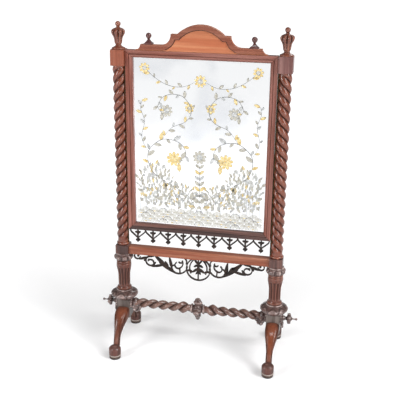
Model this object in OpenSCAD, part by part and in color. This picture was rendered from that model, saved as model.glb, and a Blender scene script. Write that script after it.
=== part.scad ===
// Cheval fire screen: a mirror panel with an arched crest rises and falls between
// two rope-twist posts, on a trestle base with four cabriole legs and a twisted stretcher.
// Millimetres. The origin is on the floor midway between the posts, +Z is up, the front faces -Y.

/* [Overall] */
// Distance between the centre lines of the two posts
post_spacing = 520; // [480:5:600]
// Distance between the centres of a front foot and a rear foot
foot_spacing = 254; // [220:2:300]
// Height of the underside of the base blocks above the floor
leg_rise = 98; // [92:1:112]
// How far the panel can be raised
panel_travel = 300; // [100:10:340]

/* [Base] */
// Side of the square base block
base_w = 46; // [42:1:52]
// Height of the base block
base_h = 68; // [62:1:80]
// Radius of a turned foot
foot_r = 20.3; // [18:0.1:23]
// Height of a turned foot without its pad
foot_h = 39; // [35:1:44]
// Thickness of the pad under a foot
pad_h = 7; // [4:0.5:10]
// How far the pad's edge stands in from the foot's edge
pad_inset = 2; // [1:0.5:4]
// Width of a leg at its knee
knee_w = 43; // [36:1:45]
// Width of a leg at its ankle
ankle_w = 21; // [17:1:24]
// Depth of a leg at its ankle, front to back
ankle_d = 22; // [17:1:26]

/* [Lower turnings] */
// Height of the carved bulb on the base block
bulb_h = 37; // [34:1:40]
// Outer radius of the carved bulb
bulb_r = 46.5; // [42:0.5:50]
// Number of petals round the bulb
bulb_petals = 8; // [6:1:10]
// Height of the fluted baluster with its two beads
baluster_h = 107; // [95:1:130]
// Radius of the baluster's shaft
shaft_r = 20; // [18:0.5:22]
// Radius of the baluster's bell-shaped top
bell_r = 25.5; // [23:0.5:28]
// Radius of the beads above and below the baluster
baluster_bead_r = 25; // [23:0.5:28]
// Height of the beads above and below the baluster
baluster_bead_h = 9; // [7:0.5:11]
// Number of flutes round the baluster
flute_count = 12; // [8:1:16]
// Radius of one flute
flute_r = 3.4; // [2.5:0.1:4.5]
// Height of the gadrooned collar
collar_h = 28; // [24:1:34]
// Outer radius of the gadrooned collar
collar_r = 33.5; // [30:0.5:37]
// Number of leaves round the collar
collar_leaves = 8; // [6:1:10]

/* [Posts] */
// Side of the square blocks of a post
block_w = 44; // [42:0.5:48]
// Height of the block that takes the lower rail
lower_block_h = 31; // [28:1:40]
// Height of the block at the top of a post
top_block_h = 50; // [40:1:60]
// Chamfer round the blocks
block_chamfer = 1.5; // [0.5:0.5:3]
// Height of the bead between the lower block and the twist
post_bead_h = 10; // [7:0.5:12]
// Length of the rope twist
twist_h = 594; // [540:1:640]
// Number of strands in the rope twist
twist_strands = 3; // [3:1:4]
// Height in which one strand goes once round the post
twist_pitch = 92.5; // [80:0.5:110]
// Outer radius of the rope twist
twist_r = 20.7; // [19.5:0.1:21.5]
// Radius of one strand of the post
strand_r = 12.4; // [11.5:0.1:13.5]

/* [Finials] */
// Radius of the flange that sits on the top block
finial_flange_r = 21.5; // [18:0.5:22]
// Radius of the neck above the flange
finial_neck_r = 9.5; // [8:0.5:11]
// Outer radius of the lobed crown
crown_r = 23.5; // [21:0.5:26]
// Height of the crown's widest line above the block
crown_z = 52; // [46:1:56]
// Number of lobes round the crown
crown_lobes = 8; // [6:1:10]
// Radius of the ball on a post finial
finial_ball_r = 8.6; // [7:0.1:10]

/* [Rail and stretcher] */
// Height of the lower rail
rail_h = 27; // [24:1:31]
// Depth of the lower rail, front to back
rail_d = 30; // [26:1:36]
// Height of the stretcher's centre line above the floor
stretcher_z = 149.5; // [134:0.5:154]
// Outer radius of the stretcher's twist
stretcher_r = 16.5; // [15:0.1:18]
// Radius of one strand of the stretcher
stretcher_strand_r = 9.9; // [9:0.1:11]
// Length in which one strand goes once round the stretcher
stretcher_pitch = 71; // [60:1:90]
// How much thicker the twist is beside the centre boss
stretcher_swell = 0.22; // [0:0.01:0.3]
// Radius of the centre boss without its leaves
boss_r = 21; // [19:0.5:23]
// Half the length of the centre boss
boss_half = 24; // [20:1:28]
// Reach of the boss's four leaves from the centre line
boss_leaf_reach = 40; // [35:0.5:45]
// Thickness of the carved bracket across the stretcher
bracket_t = 26; // [20:1:32]
// Length of the inner brackets along the stretcher
bracket_reach = 42; // [34:1:54]
// Depth of the brackets below the stretcher's centre line
bracket_drop = 38; // [34:1:42]
// Thickness of the round plate against the base block
rosette_t = 9; // [6:0.5:12]
// Radius of that round plate
rosette_r = 20; // [18:0.5:22]
// Distance from the base block to the middle of the end knob
knob_out = 29; // [26:1:34]
// Reach of the end knob's four lobes from the centre line
knob_reach = 19.5; // [17:0.5:22]

/* [Panel] */
// Height of the panel's lower edge above the top of the lower rail
panel_rise = 63; // [56:1:80]
// Clearance between the panel and the top blocks on each side
side_gap = 1; // [0.5:0.1:2]
// Width of the frame's flat face
frame_face = 18; // [15:0.5:22]
// Width and depth of the bevel at the frame's inner edge
frame_bevel = 5; // [3:0.5:7]
// Distance from the post's centre line to the frame's front
frame_front = 12; // [10:0.5:15]
// Distance from the mirror's face to the frame's back
rebate_depth = 10; // [9:0.5:14]
// How far the frame covers the mirror's edge
mirror_lap = 6; // [4:0.5:8]
// Thickness of the mirror
mirror_t = 4; // [3:0.5:5]
// Play round the mirror and the backboard in the frame
rebate_play = 0.5; // [0.3:0.1:1]
// How far the brass tongue stands out of the frame
tongue_out = 7.5; // [6.5:0.5:8]
// Thickness of the brass tongue
tongue_t = 4; // [3:0.5:5]
// Clearance of the tongue in its groove on each face
tongue_play = 0.5; // [0.3:0.1:0.8]
// Distance from the frame's lower edge to the tongue, and from the raised tongue to the post's top
tongue_inset = 6; // [4:1:12]
// Number of turn buttons on each upright of the frame's back
button_rows = 3; // [2:1:5]

/* [Crest] */
// Height of the crest's wings above the top rail
wing_h = 18; // [15:1:22]
// Height of the crest's shoulders above the top rail
shoulder_h = 52; // [46:1:58]
// Height of the crest's arch above the top rail
arch_h = 82.5; // [74:0.5:90]
// Half width of the arch where it leaves the shoulders
arch_half = 73; // [65:1:80]
// Half width across the shoulders
shoulder_half = 92; // [84:1:100]
// Radius of the hollow between the wings and the shoulders
hollow_r = 33; // [28:1:34]
// Distance from the panel's edge to the end of a wing
wing_end = 32; // [24:1:40]
// Thickness of the crest board
crest_t = 16; // [12:1:18]
// Width of the raised moulding along the crest's outline
crest_mould_w = 15; // [11:1:17]
// Distance from the end of a wing to the middle of its ball
plinth_inset = 42; // [34:1:50]
// Width of a crest ball's plinth
plinth_w = 28; // [24:1:32]
// Radius of a crest ball
crest_ball_r = 9; // [7:0.5:10]

/* [Frets] */
// Thickness of the two frets
fret_t = 5; // [4:0.5:8]
// Width of a fret's bars
fret_bar = 3.4; // [2.6:0.2:4.2]
// Number of drops along the panel's lower edge
drop_count = 9; // [7:1:11]
// Distance from the panel's edge to the end of the drop fret
drop_margin = 3; // [1:0.5:8]
// Length of a drop below the panel
drop_len = 48.5; // [42:0.5:52]
// Distance from the end of the rail to the end of the scroll fret
fret_margin = 4; // [2:0.5:10]

/* [Hidden] */
$fn = 64;

// Colours of the finished object
mahogany = [0.42, 0.17, 0.11];
mahogany_light = [0.62, 0.30, 0.17];
mahogany_dark = [0.27, 0.13, 0.11];
fret_black = [0.13, 0.12, 0.11];
brass = [0.72, 0.58, 0.32];
silver = [0.88, 0.90, 0.91];
pine = [0.66, 0.50, 0.33];

// Heights of the post's pieces, from the floor up
foot_top = pad_h + foot_h;
base_top = leg_rise + base_h;
bulb_top = base_top + bulb_h;
baluster_top = bulb_top + baluster_h;
collar_top = baluster_top + collar_h;
lower_block_top = collar_top + lower_block_h;
twist_foot = lower_block_top + post_bead_h;
twist_top = twist_foot + twist_h;
post_top = twist_top + top_block_h;

// Plan positions
post_x = post_spacing / 2;
foot_y = foot_spacing / 2;
base_half = base_w / 2;
block_half = block_w / 2;
rail_len = post_spacing - block_w;
rail_top = collar_top + rail_h;

// Panel
panel_half = post_x - block_half - side_gap;
panel_bottom = rail_top + panel_rise;
panel_top = post_top;
panel_h = panel_top - panel_bottom;
sight_inset = frame_face + frame_bevel;
mirror_inset = sight_inset - mirror_lap + rebate_play;
mirror_back = mirror_t;
backboard_t = rebate_depth - mirror_t;
tongue_bottom = panel_bottom + tongue_inset;
tongue_h = panel_h - 2 * tongue_inset - panel_travel;

// Rope twist: offset of the strands from the centre line and their angle at the foot
strand_off = twist_r - strand_r;
twist_phase = 83.3;
twist_rings = 94;
stretcher_strand_off = stretcher_r - stretcher_strand_r;
stretcher_phase = 12.6;
stretcher_rings = 36;
stretcher_end = post_x - base_half - rosette_t;
stretcher_len = stretcher_end - boss_half;

// Frets: the scroll fret is drawn in units that follow the rail's length
drop_step = 2 * (panel_half - drop_margin) / drop_count;
fret_half = rail_len / 2 - fret_margin;
fret_unit = fret_half / 234;
fret_ring_r = 42.4 * fret_unit;

// Crest
crest_front = frame_front - 4;
arch_r = (arch_half * arch_half + pow(arch_h - shoulder_h, 2)) / (2 * (arch_h - shoulder_h));
wing_half = panel_half - wing_end;
plinth_x = wing_half - plinth_inset;

// Helpers

// Smooth step from 0 to 1
function ease(t) = t <= 0 ? 0 : t >= 1 ? 1 : t * t * (3 - 2 * t);

// Point at t on the cubic curve with control points p
function curve(p, t) =
    pow(1 - t, 3) * p[0] + 3 * t * pow(1 - t, 2) * p[1] + 3 * t * t * (1 - t) * p[2] + pow(t, 3) * p[3];

// Distance from the rope's centre to the surface of a strand, at angle a from the strand's middle
function strand_reach(a, off, r) = off * cos(a) + sqrt(r * r - pow(off * sin(a), 2));

// Faces of a tube of rings with count points each, closed at both ends
function tube_faces(rings, count) = concat(
    [[for (j = [0 : count - 1]) j]],
    [for (i = [0 : rings - 2], j = [0 : count - 1])
        [i * count + j, (i + 1) * count + j, (i + 1) * count + (j + 1) % count]],
    [for (i = [0 : rings - 2], j = [0 : count - 1])
        [i * count + j, (i + 1) * count + (j + 1) % count, i * count + (j + 1) % count]],
    [[for (j = [count - 1 : -1 : 0]) (rings - 1) * count + j]]
);

// Places the children at the left post (s = -1), mirrored, or at the right post (s = 1)
module at_post(s) {
    if (s < 0)
        mirror([1, 0, 0]) translate([post_x, 0, 0]) children();
    else
        translate([post_x, 0, 0]) children();
}

// Mirrors the children to the rear (s = 1) or leaves them at the front (s = -1)
module at_end(s) {
    if (s > 0)
        mirror([0, 1, 0]) children();
    else
        children();
}

// Copies the children count times round the Z axis
module around(count) {
    for (i = [0 : count - 1])
        rotate([0, 0, i * 360 / count]) children();
}

// Turned half-round bead of radius r and height h
module bead(r, h) {
    rotate_extrude() {
        translate([r - h / 2, h / 2]) circle(h / 2);
        square([r - h / 2, h]);
    }
}

// Square block with its vertical and horizontal edges chamfered
module block(w, h, c) {
    intersection() {
        translate([0, 0, h / 2]) cube([w, w, h], center = true);
        translate([0, 0, h / 2]) rotate([0, 0, 45]) cube([w * sqrt(2) - c * sqrt(2), w * sqrt(2) - c * sqrt(2), h], center = true);
        translate([0, 0, h / 2]) rotate([45, 0, 0]) cube([w, (w + h - 2 * c) / sqrt(2), (w + h - 2 * c) / sqrt(2)], center = true);
        translate([0, 0, h / 2]) rotate([0, 45, 0]) cube([(w + h - 2 * c) / sqrt(2), w, (w + h - 2 * c) / sqrt(2)], center = true);
    }
}

// Twisted rope along Z. The section is a ring of strands that turn with the height, and it
// runs out into a plain round end over the fade lengths. girth(z) scales the whole section.
module rope(length, strands, pitch, off, r, hand, phase, rings, points, fades, end_r, girth) {
    count = strands * points;
    shape = [for (i = [0 : rings - 1])
        let (z = length * i / (rings - 1))
        let (turn = phase + hand * 360 * z / pitch)
        let (full = ease(z / fades[0]) * ease((length - z) / fades[1]))
        for (k = [0 : strands - 1], j = [0 : points - 1])
            let (a = (360 / strands) * (j / points - 0.5))
            let (reach = (full * strand_reach(a, off, r) + (1 - full) * end_r) * girth(z))
            let (angle = turn + hand * (k * 360 / strands + a))
            [reach * cos(angle), reach * sin(angle), z]
    ];
    mirror([0, hand < 0 ? 1 : 0, 0])
        polyhedron([for (p = shape) [p[0], hand * p[1], p[2]]], tube_faces(rings, count), convexity = 10);
}

// Base

// One cabriole leg with its turned foot, for the right front corner
module leg() {
    upper = [[-base_half, base_top - 5], [-base_half - 40, base_top - 4], [-foot_y + 42, leg_rise + 8], [-foot_y + 10, foot_top - 12]];
    under = [[-base_half, leg_rise + 1], [-base_half - 30, leg_rise], [-foot_y + 34, foot_top + 28], [-foot_y + 10 + ankle_d, foot_top - 12]];
    rings = 13;
    count = 16;
    points = [for (i = [0 : rings - 1])
        let (t = i / (rings - 1))
        let (o = curve(upper, t))
        let (u = curve(under, t))
        let (half = (knee_w + (ankle_w - knee_w) * ease((t - 0.15) / 0.7)) / 2)
        for (j = [0 : count - 1])
            let (a = 360 * (j + 0.5) / count)
            let (c = sign(cos(a)) * pow(abs(cos(a)), 0.62))
            let (s = sign(sin(a)) * pow(abs(sin(a)), 0.62))
            [half * c, (o[0] + u[0]) / 2 + s * (o[0] - u[0]) / 2, (o[1] + u[1]) / 2 + s * (o[1] - u[1]) / 2]
    ];
    union() {
        polyhedron(points, tube_faces(rings, count), convexity = 6);
        translate([0, -foot_y, pad_h]) foot();
    }
}

// Turned foot with a domed top
module foot() {
    dome = foot_r * 0.6;
    rotate_extrude() {
        square([foot_r - 2, 4]);
        translate([0, 3]) square([foot_r, foot_h - dome - 3]);
        intersection() {
            translate([foot_r - dome, foot_h - dome]) circle(dome);
            square([foot_r, foot_h]);
        }
        square([foot_r - dome, foot_h]);
    }
}

module leg_node(side, end) {
    color(mahogany) at_post(side) at_end(end) leg();
}

module pad_node(side, end) {
    color(mahogany_dark) at_post(side) at_end(end)
        translate([0, -foot_y, 0]) cylinder(r = foot_r - pad_inset, h = pad_h);
}

module base_block_node(side) {
    color(mahogany_dark) at_post(side) translate([0, 0, leg_rise]) block(base_w, base_h, block_chamfer);
}

// Lower turnings

// Carved bulb: petals round a turned core, with a seat on the base block and one for the baluster
module bulb() {
    petal = bulb_h * 0.45;
    difference() {
        union() {
            cylinder(r = base_half, h = bulb_h);
            translate([0, 0, bulb_h * 0.2]) cylinder(r = bulb_r - petal, h = bulb_h * 0.7);
            around(bulb_petals)
                translate([bulb_r - petal, 0, bulb_h * 0.55]) sphere(petal);
        }
        translate([0, 0, bulb_h]) cylinder(r = bulb_r, h = bulb_h);
        translate([0, 0, -bulb_h]) cylinder(r = bulb_r, h = bulb_h);
    }
}

module bulb_node(side) {
    color(mahogany_dark) at_post(side) translate([0, 0, base_top]) bulb();
}

// Fluted baluster with a bead at each end and a bell-shaped top
module baluster() {
    low = baluster_bead_h;
    high = baluster_h - baluster_bead_h;
    bell = [[shaft_r, high - 52], [shaft_r, high - 30], [bell_r, high - 26], [bell_r, high - 6]];
    steps = 8;
    difference() {
        union() {
            bead(baluster_bead_r, baluster_bead_h);
            translate([0, 0, high]) bead(baluster_bead_r, baluster_bead_h);
            rotate_extrude()
                polygon(concat(
                    [[0, low - 1], [shaft_r + 1.5, low - 1], [shaft_r, low + 5]],
                    [for (i = [0 : steps]) curve(bell, i / steps)],
                    [[bell_r - 1.5, high], [0, high]]
                ));
        }
        around(flute_count)
            translate([shaft_r + flute_r - 1.2, 0, low + 8]) flute(high - low - 28);
    }
}

// Cutter for one flute of length h with round ends
module flute(h) {
    sphere(flute_r);
    cylinder(r = flute_r, h = h);
    translate([0, 0, h]) sphere(flute_r);
}

module baluster_node(side) {
    color(mahogany) at_post(side) translate([0, 0, bulb_top]) baluster();
}

// Collar of leaves under the lower block
module collar() {
    leaf = collar_h * 0.38;
    neck = baluster_bead_r - 2;
    union() {
        cylinder(r = neck, h = collar_h);
        around(collar_leaves)
            rotate([0, 0, 180 / collar_leaves]) translate([collar_r - leaf, 0, collar_h * 0.45]) sphere(leaf);
    }
}

module collar_node(side) {
    color(mahogany_dark) at_post(side) translate([0, 0, baluster_top]) collar();
}

// Posts

// Post in one piece: lower block, bead, rope twist and top block, with the groove for the tongue
module post() {
    groove_w = tongue_t + 2 * tongue_play;
    groove_x = block_half + side_gap - tongue_out - tongue_play;
    groove_z = tongue_bottom - 0.3;
    difference() {
        union() {
            translate([0, 0, collar_top]) block(block_w, lower_block_h, block_chamfer);
            translate([0, 0, lower_block_top]) bead(twist_r + 1.3, post_bead_h);
            translate([0, 0, twist_foot])
                rope(twist_h, twist_strands, twist_pitch, strand_off, strand_r, -1, twist_phase,
                    twist_rings, 7, [26, 14], twist_r - 2, function(z) 1);
            translate([0, 0, twist_top]) block(block_w, top_block_h, block_chamfer);
        }
        translate([-block_w, -groove_w / 2, groove_z])
            cube([block_w - groove_x, groove_w, post_top]);
    }
}

module post_node(side) {
    color(mahogany) at_post(side) post();
}

// Finials

// Turned and carved finial: flange, hollow, lobed crown and ball
module finial() {
    flange_h = 6;
    hollow = finial_flange_r - 2 - finial_neck_r;
    neck_z = flange_h + hollow;
    lobe_r = crown_r * 0.4;
    lobe_off = crown_r - lobe_r;
    core_r = lobe_off + lobe_r * 0.6;
    cap_z = crown_z + lobe_r + 4;
    reed_r = 2.6;
    lean = atan((core_r - finial_neck_r) / (crown_z - neck_z));
    union() {
        bead(finial_flange_r, flange_h);
        translate([0, 0, flange_h - 0.5])
            rotate_extrude()
                difference() {
                    square([finial_flange_r - 2, hollow + 0.5]);
                    translate([finial_flange_r - 2, hollow + 0.5]) circle(hollow);
                }
        difference() {
            translate([0, 0, neck_z - 1]) cylinder(r1 = finial_neck_r, r2 = core_r, h = crown_z - neck_z + 1);
            around(crown_lobes)
                translate([finial_neck_r + reed_r * 0.6, 0, neck_z + 4])
                    rotate([0, lean, 0]) cylinder(r = reed_r, h = crown_z);
        }
        around(crown_lobes)
            rotate([0, 0, 180 / crown_lobes]) translate([lobe_off, 0, crown_z]) sphere(lobe_r);
        translate([0, 0, crown_z]) cylinder(r1 = lobe_off, r2 = 4.5, h = cap_z - crown_z);
        translate([0, 0, cap_z - 1]) cylinder(r = 4.5, h = 6);
        translate([0, 0, cap_z + finial_ball_r + 2]) sphere(finial_ball_r);
    }
}

module finial_node(side) {
    color(mahogany) at_post(side) translate([0, 0, post_top]) finial();
}

// Stretcher, its brackets and its end knobs

// Carved bracket: a round plate against the base block with lobes below the stretcher
module bracket(reach) {
    lobe_r = bracket_drop / 2;
    tip_r = lobe_r / 2;
    union() {
        rotate([0, 90, 0]) cylinder(r = rosette_r, h = rosette_t);
        difference() {
            rotate([90, 0, 0])
                linear_extrude(bracket_t, center = true)
                    intersection() {
                        union() {
                            translate([min(reach, 2 * lobe_r) - lobe_r, lobe_r - bracket_drop]) circle(lobe_r);
                            translate([0, -bracket_drop]) square([max(min(reach, 2 * lobe_r) - lobe_r, 1), bracket_drop]);
                            translate([reach - tip_r, -stretcher_r - 1]) circle(tip_r);
                        }
                        translate([0, -bracket_drop]) square([reach, bracket_drop]);
                    }
            rotate([0, 90, 0]) translate([0, 0, rosette_t]) cylinder(r = stretcher_r + 0.3, h = reach);
        }
    }
}

module inner_bracket_node(side) {
    color(mahogany_dark) at_post(side) translate([-base_half, 0, stretcher_z])
        rotate([0, 0, 180]) bracket(bracket_reach);
}

module outer_bracket_node(side) {
    color(mahogany_dark) at_post(side) translate([base_half, 0, stretcher_z]) bracket(rosette_t + 3);
}

// Four-lobed knob on a turned stem, with a small ball at its tip
module end_knob() {
    start = rosette_t;
    lobe_r = knob_reach * 0.38;
    tip_r = 4.2;
    tip_x = knob_out + 24;
    rotate([0, 90, 0]) {
        translate([0, 0, start]) cylinder(r1 = 9, r2 = 6, h = knob_out - start);
        translate([0, 0, knob_out]) sphere(knob_reach * 0.55);
        around(4) translate([knob_reach - lobe_r, 0, knob_out]) sphere(lobe_r);
        translate([0, 0, knob_out]) cylinder(r = 2.2, h = tip_x - knob_out);
        translate([0, 0, tip_x]) sphere(tip_r);
    }
}

module end_knob_node(side) {
    color(mahogany_dark) at_post(side) translate([base_half, 0, stretcher_z]) end_knob();
}

// Twisted half of the stretcher, thickest beside the centre boss
module stretcher_half() {
    swell_at = 27;
    translate([boss_half, 0, stretcher_z]) rotate([0, 90, 0])
        rope(stretcher_len, 2, stretcher_pitch, stretcher_strand_off, stretcher_strand_r, 1,
            stretcher_phase, stretcher_rings, 9, [12, 10], stretcher_strand_r + 2,
            function(z) 1 + stretcher_swell * ease(1 - abs(z - swell_at) / 34));
}

module stretcher_node(side) {
    color(mahogany) if (side < 0) mirror([1, 0, 0]) stretcher_half(); else stretcher_half();
}

// Centre boss: a turned knop with four upright leaves
module boss() {
    leaf_r = boss_leaf_reach * 0.25;
    ring = boss_half * 0.3;
    translate([0, 0, stretcher_z]) rotate([0, 90, 0]) {
        intersection() {
            sphere(boss_r * 1.12);
            cylinder(r = boss_r, h = 2 * boss_half, center = true);
        }
        for (s = [-1, 1])
            translate([0, 0, s * (boss_half - ring / 2) - ring / 2]) bead(boss_r * 0.8, ring);
        cylinder(r = boss_r * 0.55, h = 2 * boss_half, center = true);
        around(4) {
            translate([boss_leaf_reach - leaf_r, 0, 0]) sphere(leaf_r);
            translate([boss_r - 6, 0, 0]) rotate([0, 90, 0])
                cylinder(r1 = leaf_r * 1.15, r2 = leaf_r * 0.8, h = boss_leaf_reach - leaf_r - boss_r + 4);
        }
    }
}

module centre_boss_node() {
    color(mahogany_dark) boss();
}

// Lower rail and scroll fret

module lower_rail_node() {
    edge = 3;
    color(mahogany_light) translate([-rail_len / 2, 0, collar_top])
        rotate([90, 0, 90]) linear_extrude(rail_len)
            polygon([
                [-rail_d / 2, 0], [rail_d / 2, 0],
                [rail_d / 2, rail_h - edge], [rail_d / 2 - edge, rail_h],
                [edge - rail_d / 2, rail_h], [-rail_d / 2, rail_h - edge]
            ]);
}

// Flat ring of outer radius r
module hoop(r) {
    difference() {
        circle(r);
        circle(r - fret_bar);
    }
}

// Part of a hoop between the angles a0 and a1, up to 180 degrees apart
module arc(r, a0, a1) {
    far = 2 * r;
    intersection() {
        hoop(r);
        polygon([
            [0, 0],
            far * [cos(a0), sin(a0)],
            2 * far * [cos((a0 + a1) / 2), sin((a0 + a1) / 2)],
            far * [cos(a1), sin(a1)]
        ]);
    }
}

// Pointed leaf from the origin along +X
module leaf(length, width) {
    r = (length * length / 4 + width * width / 4) / width;
    intersection() {
        translate([length / 2, r - width / 2]) circle(r);
        translate([length / 2, width / 2 - r]) circle(r);
    }
}

// Right half of the scroll fret, drawn below the rail with the rail's underside at zero
module scroll_half() {
    u = fret_unit;
    // Loop beside the ring: its lower arc and the short arc that starts it at the rail
    translate(u * [69, -31]) {
        arc(u * 33, 185, 255);
        arc(u * 33, 254, 325);
    }
    translate(u * [56, -17]) arc(u * 17.5, 88, 208);
    // Forked stem inside the loop, with a hook in each branch
    translate(u * [64.5, -62.5]) rotate(86) square([u * 19, fret_bar], center = false);
    translate(u * [73, -24]) arc(u * 21.5, 150, 252);
    translate(u * [61, -16]) arc(u * 8.5, 180, 335);
    translate(u * [69, -32]) arc(u * 13.5, -112, 60);
    translate(u * [80, -43]) arc(u * 13, -45, 95);
    // Leafy stem that climbs from the loop to the rail
    translate(u * [75, -63]) rotate(30) leaf(u * 70, u * 9.5);
    translate(u * [108, -42]) rotate(42) leaf(u * 58, u * 11);
    translate(u * [90, -51]) rotate(78) leaf(u * 49, u * 8.5);
    translate(u * [102, -46]) rotate(62) leaf(u * 28, u * 7);
    // Scroll with an inner hook, fed by a long leaf from the stem
    translate(u * [165, -25.5]) {
        arc(u * 18.5, 190, 280);
        arc(u * 18.5, 279, 370);
        arc(u * 18.5, 369, 450);
        translate(u * [0, -5.5]) {
            arc(u * 12.4, 30, 150);
            arc(u * 12.4, 149, 262);
        }
        translate(u * [7, 4]) circle(u * 3.2);
        translate(u * [20, 2]) circle(u * 3.6);
    }
    translate(u * [116, -35]) rotate(-13) leaf(u * 47, u * 7);
    translate(u * [146, -3]) rotate(-13) leaf(u * 34, u * 7);
    // Loop under the end of the rail, joined to the scroll by a leaf
    translate(u * [211.5, -11]) {
        arc(u * 12, 190, 300);
        arc(u * 12, 299, 400);
        translate(u * [-3, 2]) circle(u * 3.6);
        translate(u * [-4.5, 2]) square(u * [3.4, 9]);
    }
    translate(u * [177, -12]) rotate(-20) leaf(u * 31, u * 7);
}

// Leafy stem that hangs in the centre ring, between two inner arcs
module palmette() {
    u = fret_unit;
    translate([-fret_bar / 2, -u * 80]) square([fret_bar, u * 78]);
    translate(u * [0, -66]) rotate(90) leaf(u * 56, u * 8);
    for (s = [0, 1])
        mirror([s, 0]) {
            translate(u * [11, -37]) arc(u * 42.4, 118, 208);
            translate(u * [-28, -46]) rotate(188) leaf(u * 13, u * 5);
            translate(u * [1, -22]) rotate(132) leaf(u * 23, u * 6);
            translate(u * [0, -23]) rotate(208) leaf(u * 18, u * 6);
            translate(u * [2, -35]) rotate(216) leaf(u * 29, u * 7.5);
            translate(u * [-19, -52.5]) rotate(145) leaf(u * 17, u * 5);
            translate(u * [1, -44]) rotate(236) leaf(u * 17, u * 6);
        }
}

module scroll_fret_node() {
    color(fret_black) translate([0, fret_t / 2, collar_top])
        rotate([90, 0, 0]) linear_extrude(fret_t)
            intersection() {
                union() {
                    translate([0, fret_bar - fret_ring_r]) hoop(fret_ring_r);
                    palmette();
                    scroll_half();
                    mirror([1, 0]) scroll_half();
                    translate([-fret_half, -fret_bar]) square([2 * fret_half, fret_bar]);
                }
                translate([-fret_half, -3 * fret_ring_r]) square([2 * fret_half, 3 * fret_ring_r]);
            }
}

// Panel

// Section of the frame: x runs inwards from the panel's edge, y runs from front to back
module frame_section() {
    lap = sight_inset - mirror_lap;
    polygon([
        [0, -frame_front], [frame_face, -frame_front],
        [sight_inset, frame_bevel - frame_front], [sight_inset, 0],
        [lap, 0], [lap, rebate_depth], [0, rebate_depth]
    ]);
}

// One mitred side of the frame, length long, along +Z with its outer edge on the Z axis
module frame_side(length) {
    far = 3 * sight_inset;
    difference() {
        linear_extrude(length) frame_section();
        rotate([0, -45, 0]) translate([-far, -far, -far]) cube([3 * far, 2 * far, far]);
        translate([0, 0, length]) rotate([0, 45, 0]) translate([-far, -far, 0]) cube([3 * far, 2 * far, far]);
    }
}

module stile_node(side) {
    color(mahogany)
        if (side < 0)
            translate([-panel_half, 0, panel_bottom]) frame_side(panel_h);
        else
            mirror([1, 0, 0]) translate([-panel_half, 0, panel_bottom]) frame_side(panel_h);
}

module bottom_rail_node() {
    color(mahogany) translate([panel_half, 0, panel_bottom]) rotate([0, -90, 0]) frame_side(2 * panel_half);
}

module top_rail_node() {
    color(mahogany) translate([-panel_half, 0, panel_top]) rotate([0, 90, 0]) frame_side(2 * panel_half);
}

// Brass tongue on the edge of a stile, which runs in the post's groove
module tongue_node(side) {
    color(brass)
        translate([side < 0 ? -panel_half - tongue_out : panel_half, -tongue_t / 2, tongue_bottom])
            cube([tongue_out, tongue_t, tongue_h]);
}

module mirror_plate_node() {
    color(silver) translate([mirror_inset - panel_half, 0, panel_bottom + mirror_inset])
        cube([2 * (panel_half - mirror_inset), mirror_t, panel_h - 2 * mirror_inset]);
}

module backboard_node() {
    color(pine) translate([mirror_inset - panel_half, mirror_back, panel_bottom + mirror_inset])
        cube([2 * (panel_half - mirror_inset), backboard_t, panel_h - 2 * mirror_inset]);
}

// Brass turn buttons on the frame's back that hold the backboard in
module turn_buttons_node() {
    button = [26, 1.6, 9];
    pivot = 7;
    color(brass)
        for (s = [-1, 1], i = [0 : button_rows - 1])
            translate([s * (panel_half - sight_inset + mirror_lap + 1), rebate_depth,
                panel_bottom + panel_h * (i + 0.5) / button_rows]) {
                translate([-button[0] / 2, 0, -button[2] / 2]) cube(button);
                translate([s * (button[0] / 2 - pivot), button[1] - 0.1, 0])
                    rotate([-90, 0, 0]) cylinder(r1 = 3.4, r2 = 2.4, h = 1.6);
            }
}

// Crest

// Outline of the crest above the top rail, drawn with its edges moved in by inset
module crest_outline(inset) {
    arch_c = arch_h - arch_r;
    base = -10;
    intersection() {
        union() {
            translate([-wing_half, base]) square([2 * wing_half, wing_h - inset - base]);
            difference() {
                translate([inset - shoulder_half - hollow_r, base])
                    square([2 * (shoulder_half + hollow_r - inset), shoulder_h - inset - base]);
                for (s = [-1, 1])
                    translate([s * (shoulder_half + hollow_r), wing_h + hollow_r]) circle(hollow_r + inset);
            }
            intersection() {
                translate([0, arch_c]) circle(arch_r - inset);
                translate([-arch_half, base]) square([2 * arch_half, arch_h - base]);
            }
        }
        translate([-wing_half, 0]) square([2 * wing_half, arch_h]);
    }
}

// Ogee that ends each wing of the crest
module wing_ogee() {
    for (s = [-1, 1])
        translate([s * wing_half, wing_h]) circle(wing_h - 1);
}

module crest_board_node() {
    color(mahogany_light) translate([0, crest_t - crest_front, panel_top])
        rotate([90, 0, 0]) linear_extrude(crest_t)
            difference() {
                crest_outline(0);
                wing_ogee();
            }
}

module crest_moulding_node() {
    color(mahogany) translate([0, -crest_front, panel_top])
        rotate([90, 0, 0]) linear_extrude(frame_front - crest_front)
            difference() {
                crest_outline(0);
                crest_outline(crest_mould_w);
                wing_ogee();
            }
}

// Pyramid plinth with hollow sides and a ball
module crest_ball() {
    foot_h = 4;
    roof_h = 14;
    neck = 3;
    run = plinth_w / 2 - neck;
    ball_z = foot_h + roof_h + crest_ball_r - 1;
    union() {
        translate([-plinth_w / 2, -crest_t / 2 - 2, 0]) cube([plinth_w, crest_t + 4, foot_h]);
        intersection() {
            rotate([90, 0, 0]) linear_extrude(plinth_w, center = true) hollow_gable(plinth_w / 2 - 1, neck, foot_h, roof_h, run);
            rotate([90, 0, 90]) linear_extrude(plinth_w, center = true)
                hollow_gable(crest_t / 2 + 1, neck, foot_h, roof_h, run);
        }
        cylinder(r = neck - 0.4, h = ball_z);
        translate([0, 0, ball_z]) sphere(crest_ball_r);
    }
}

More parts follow.
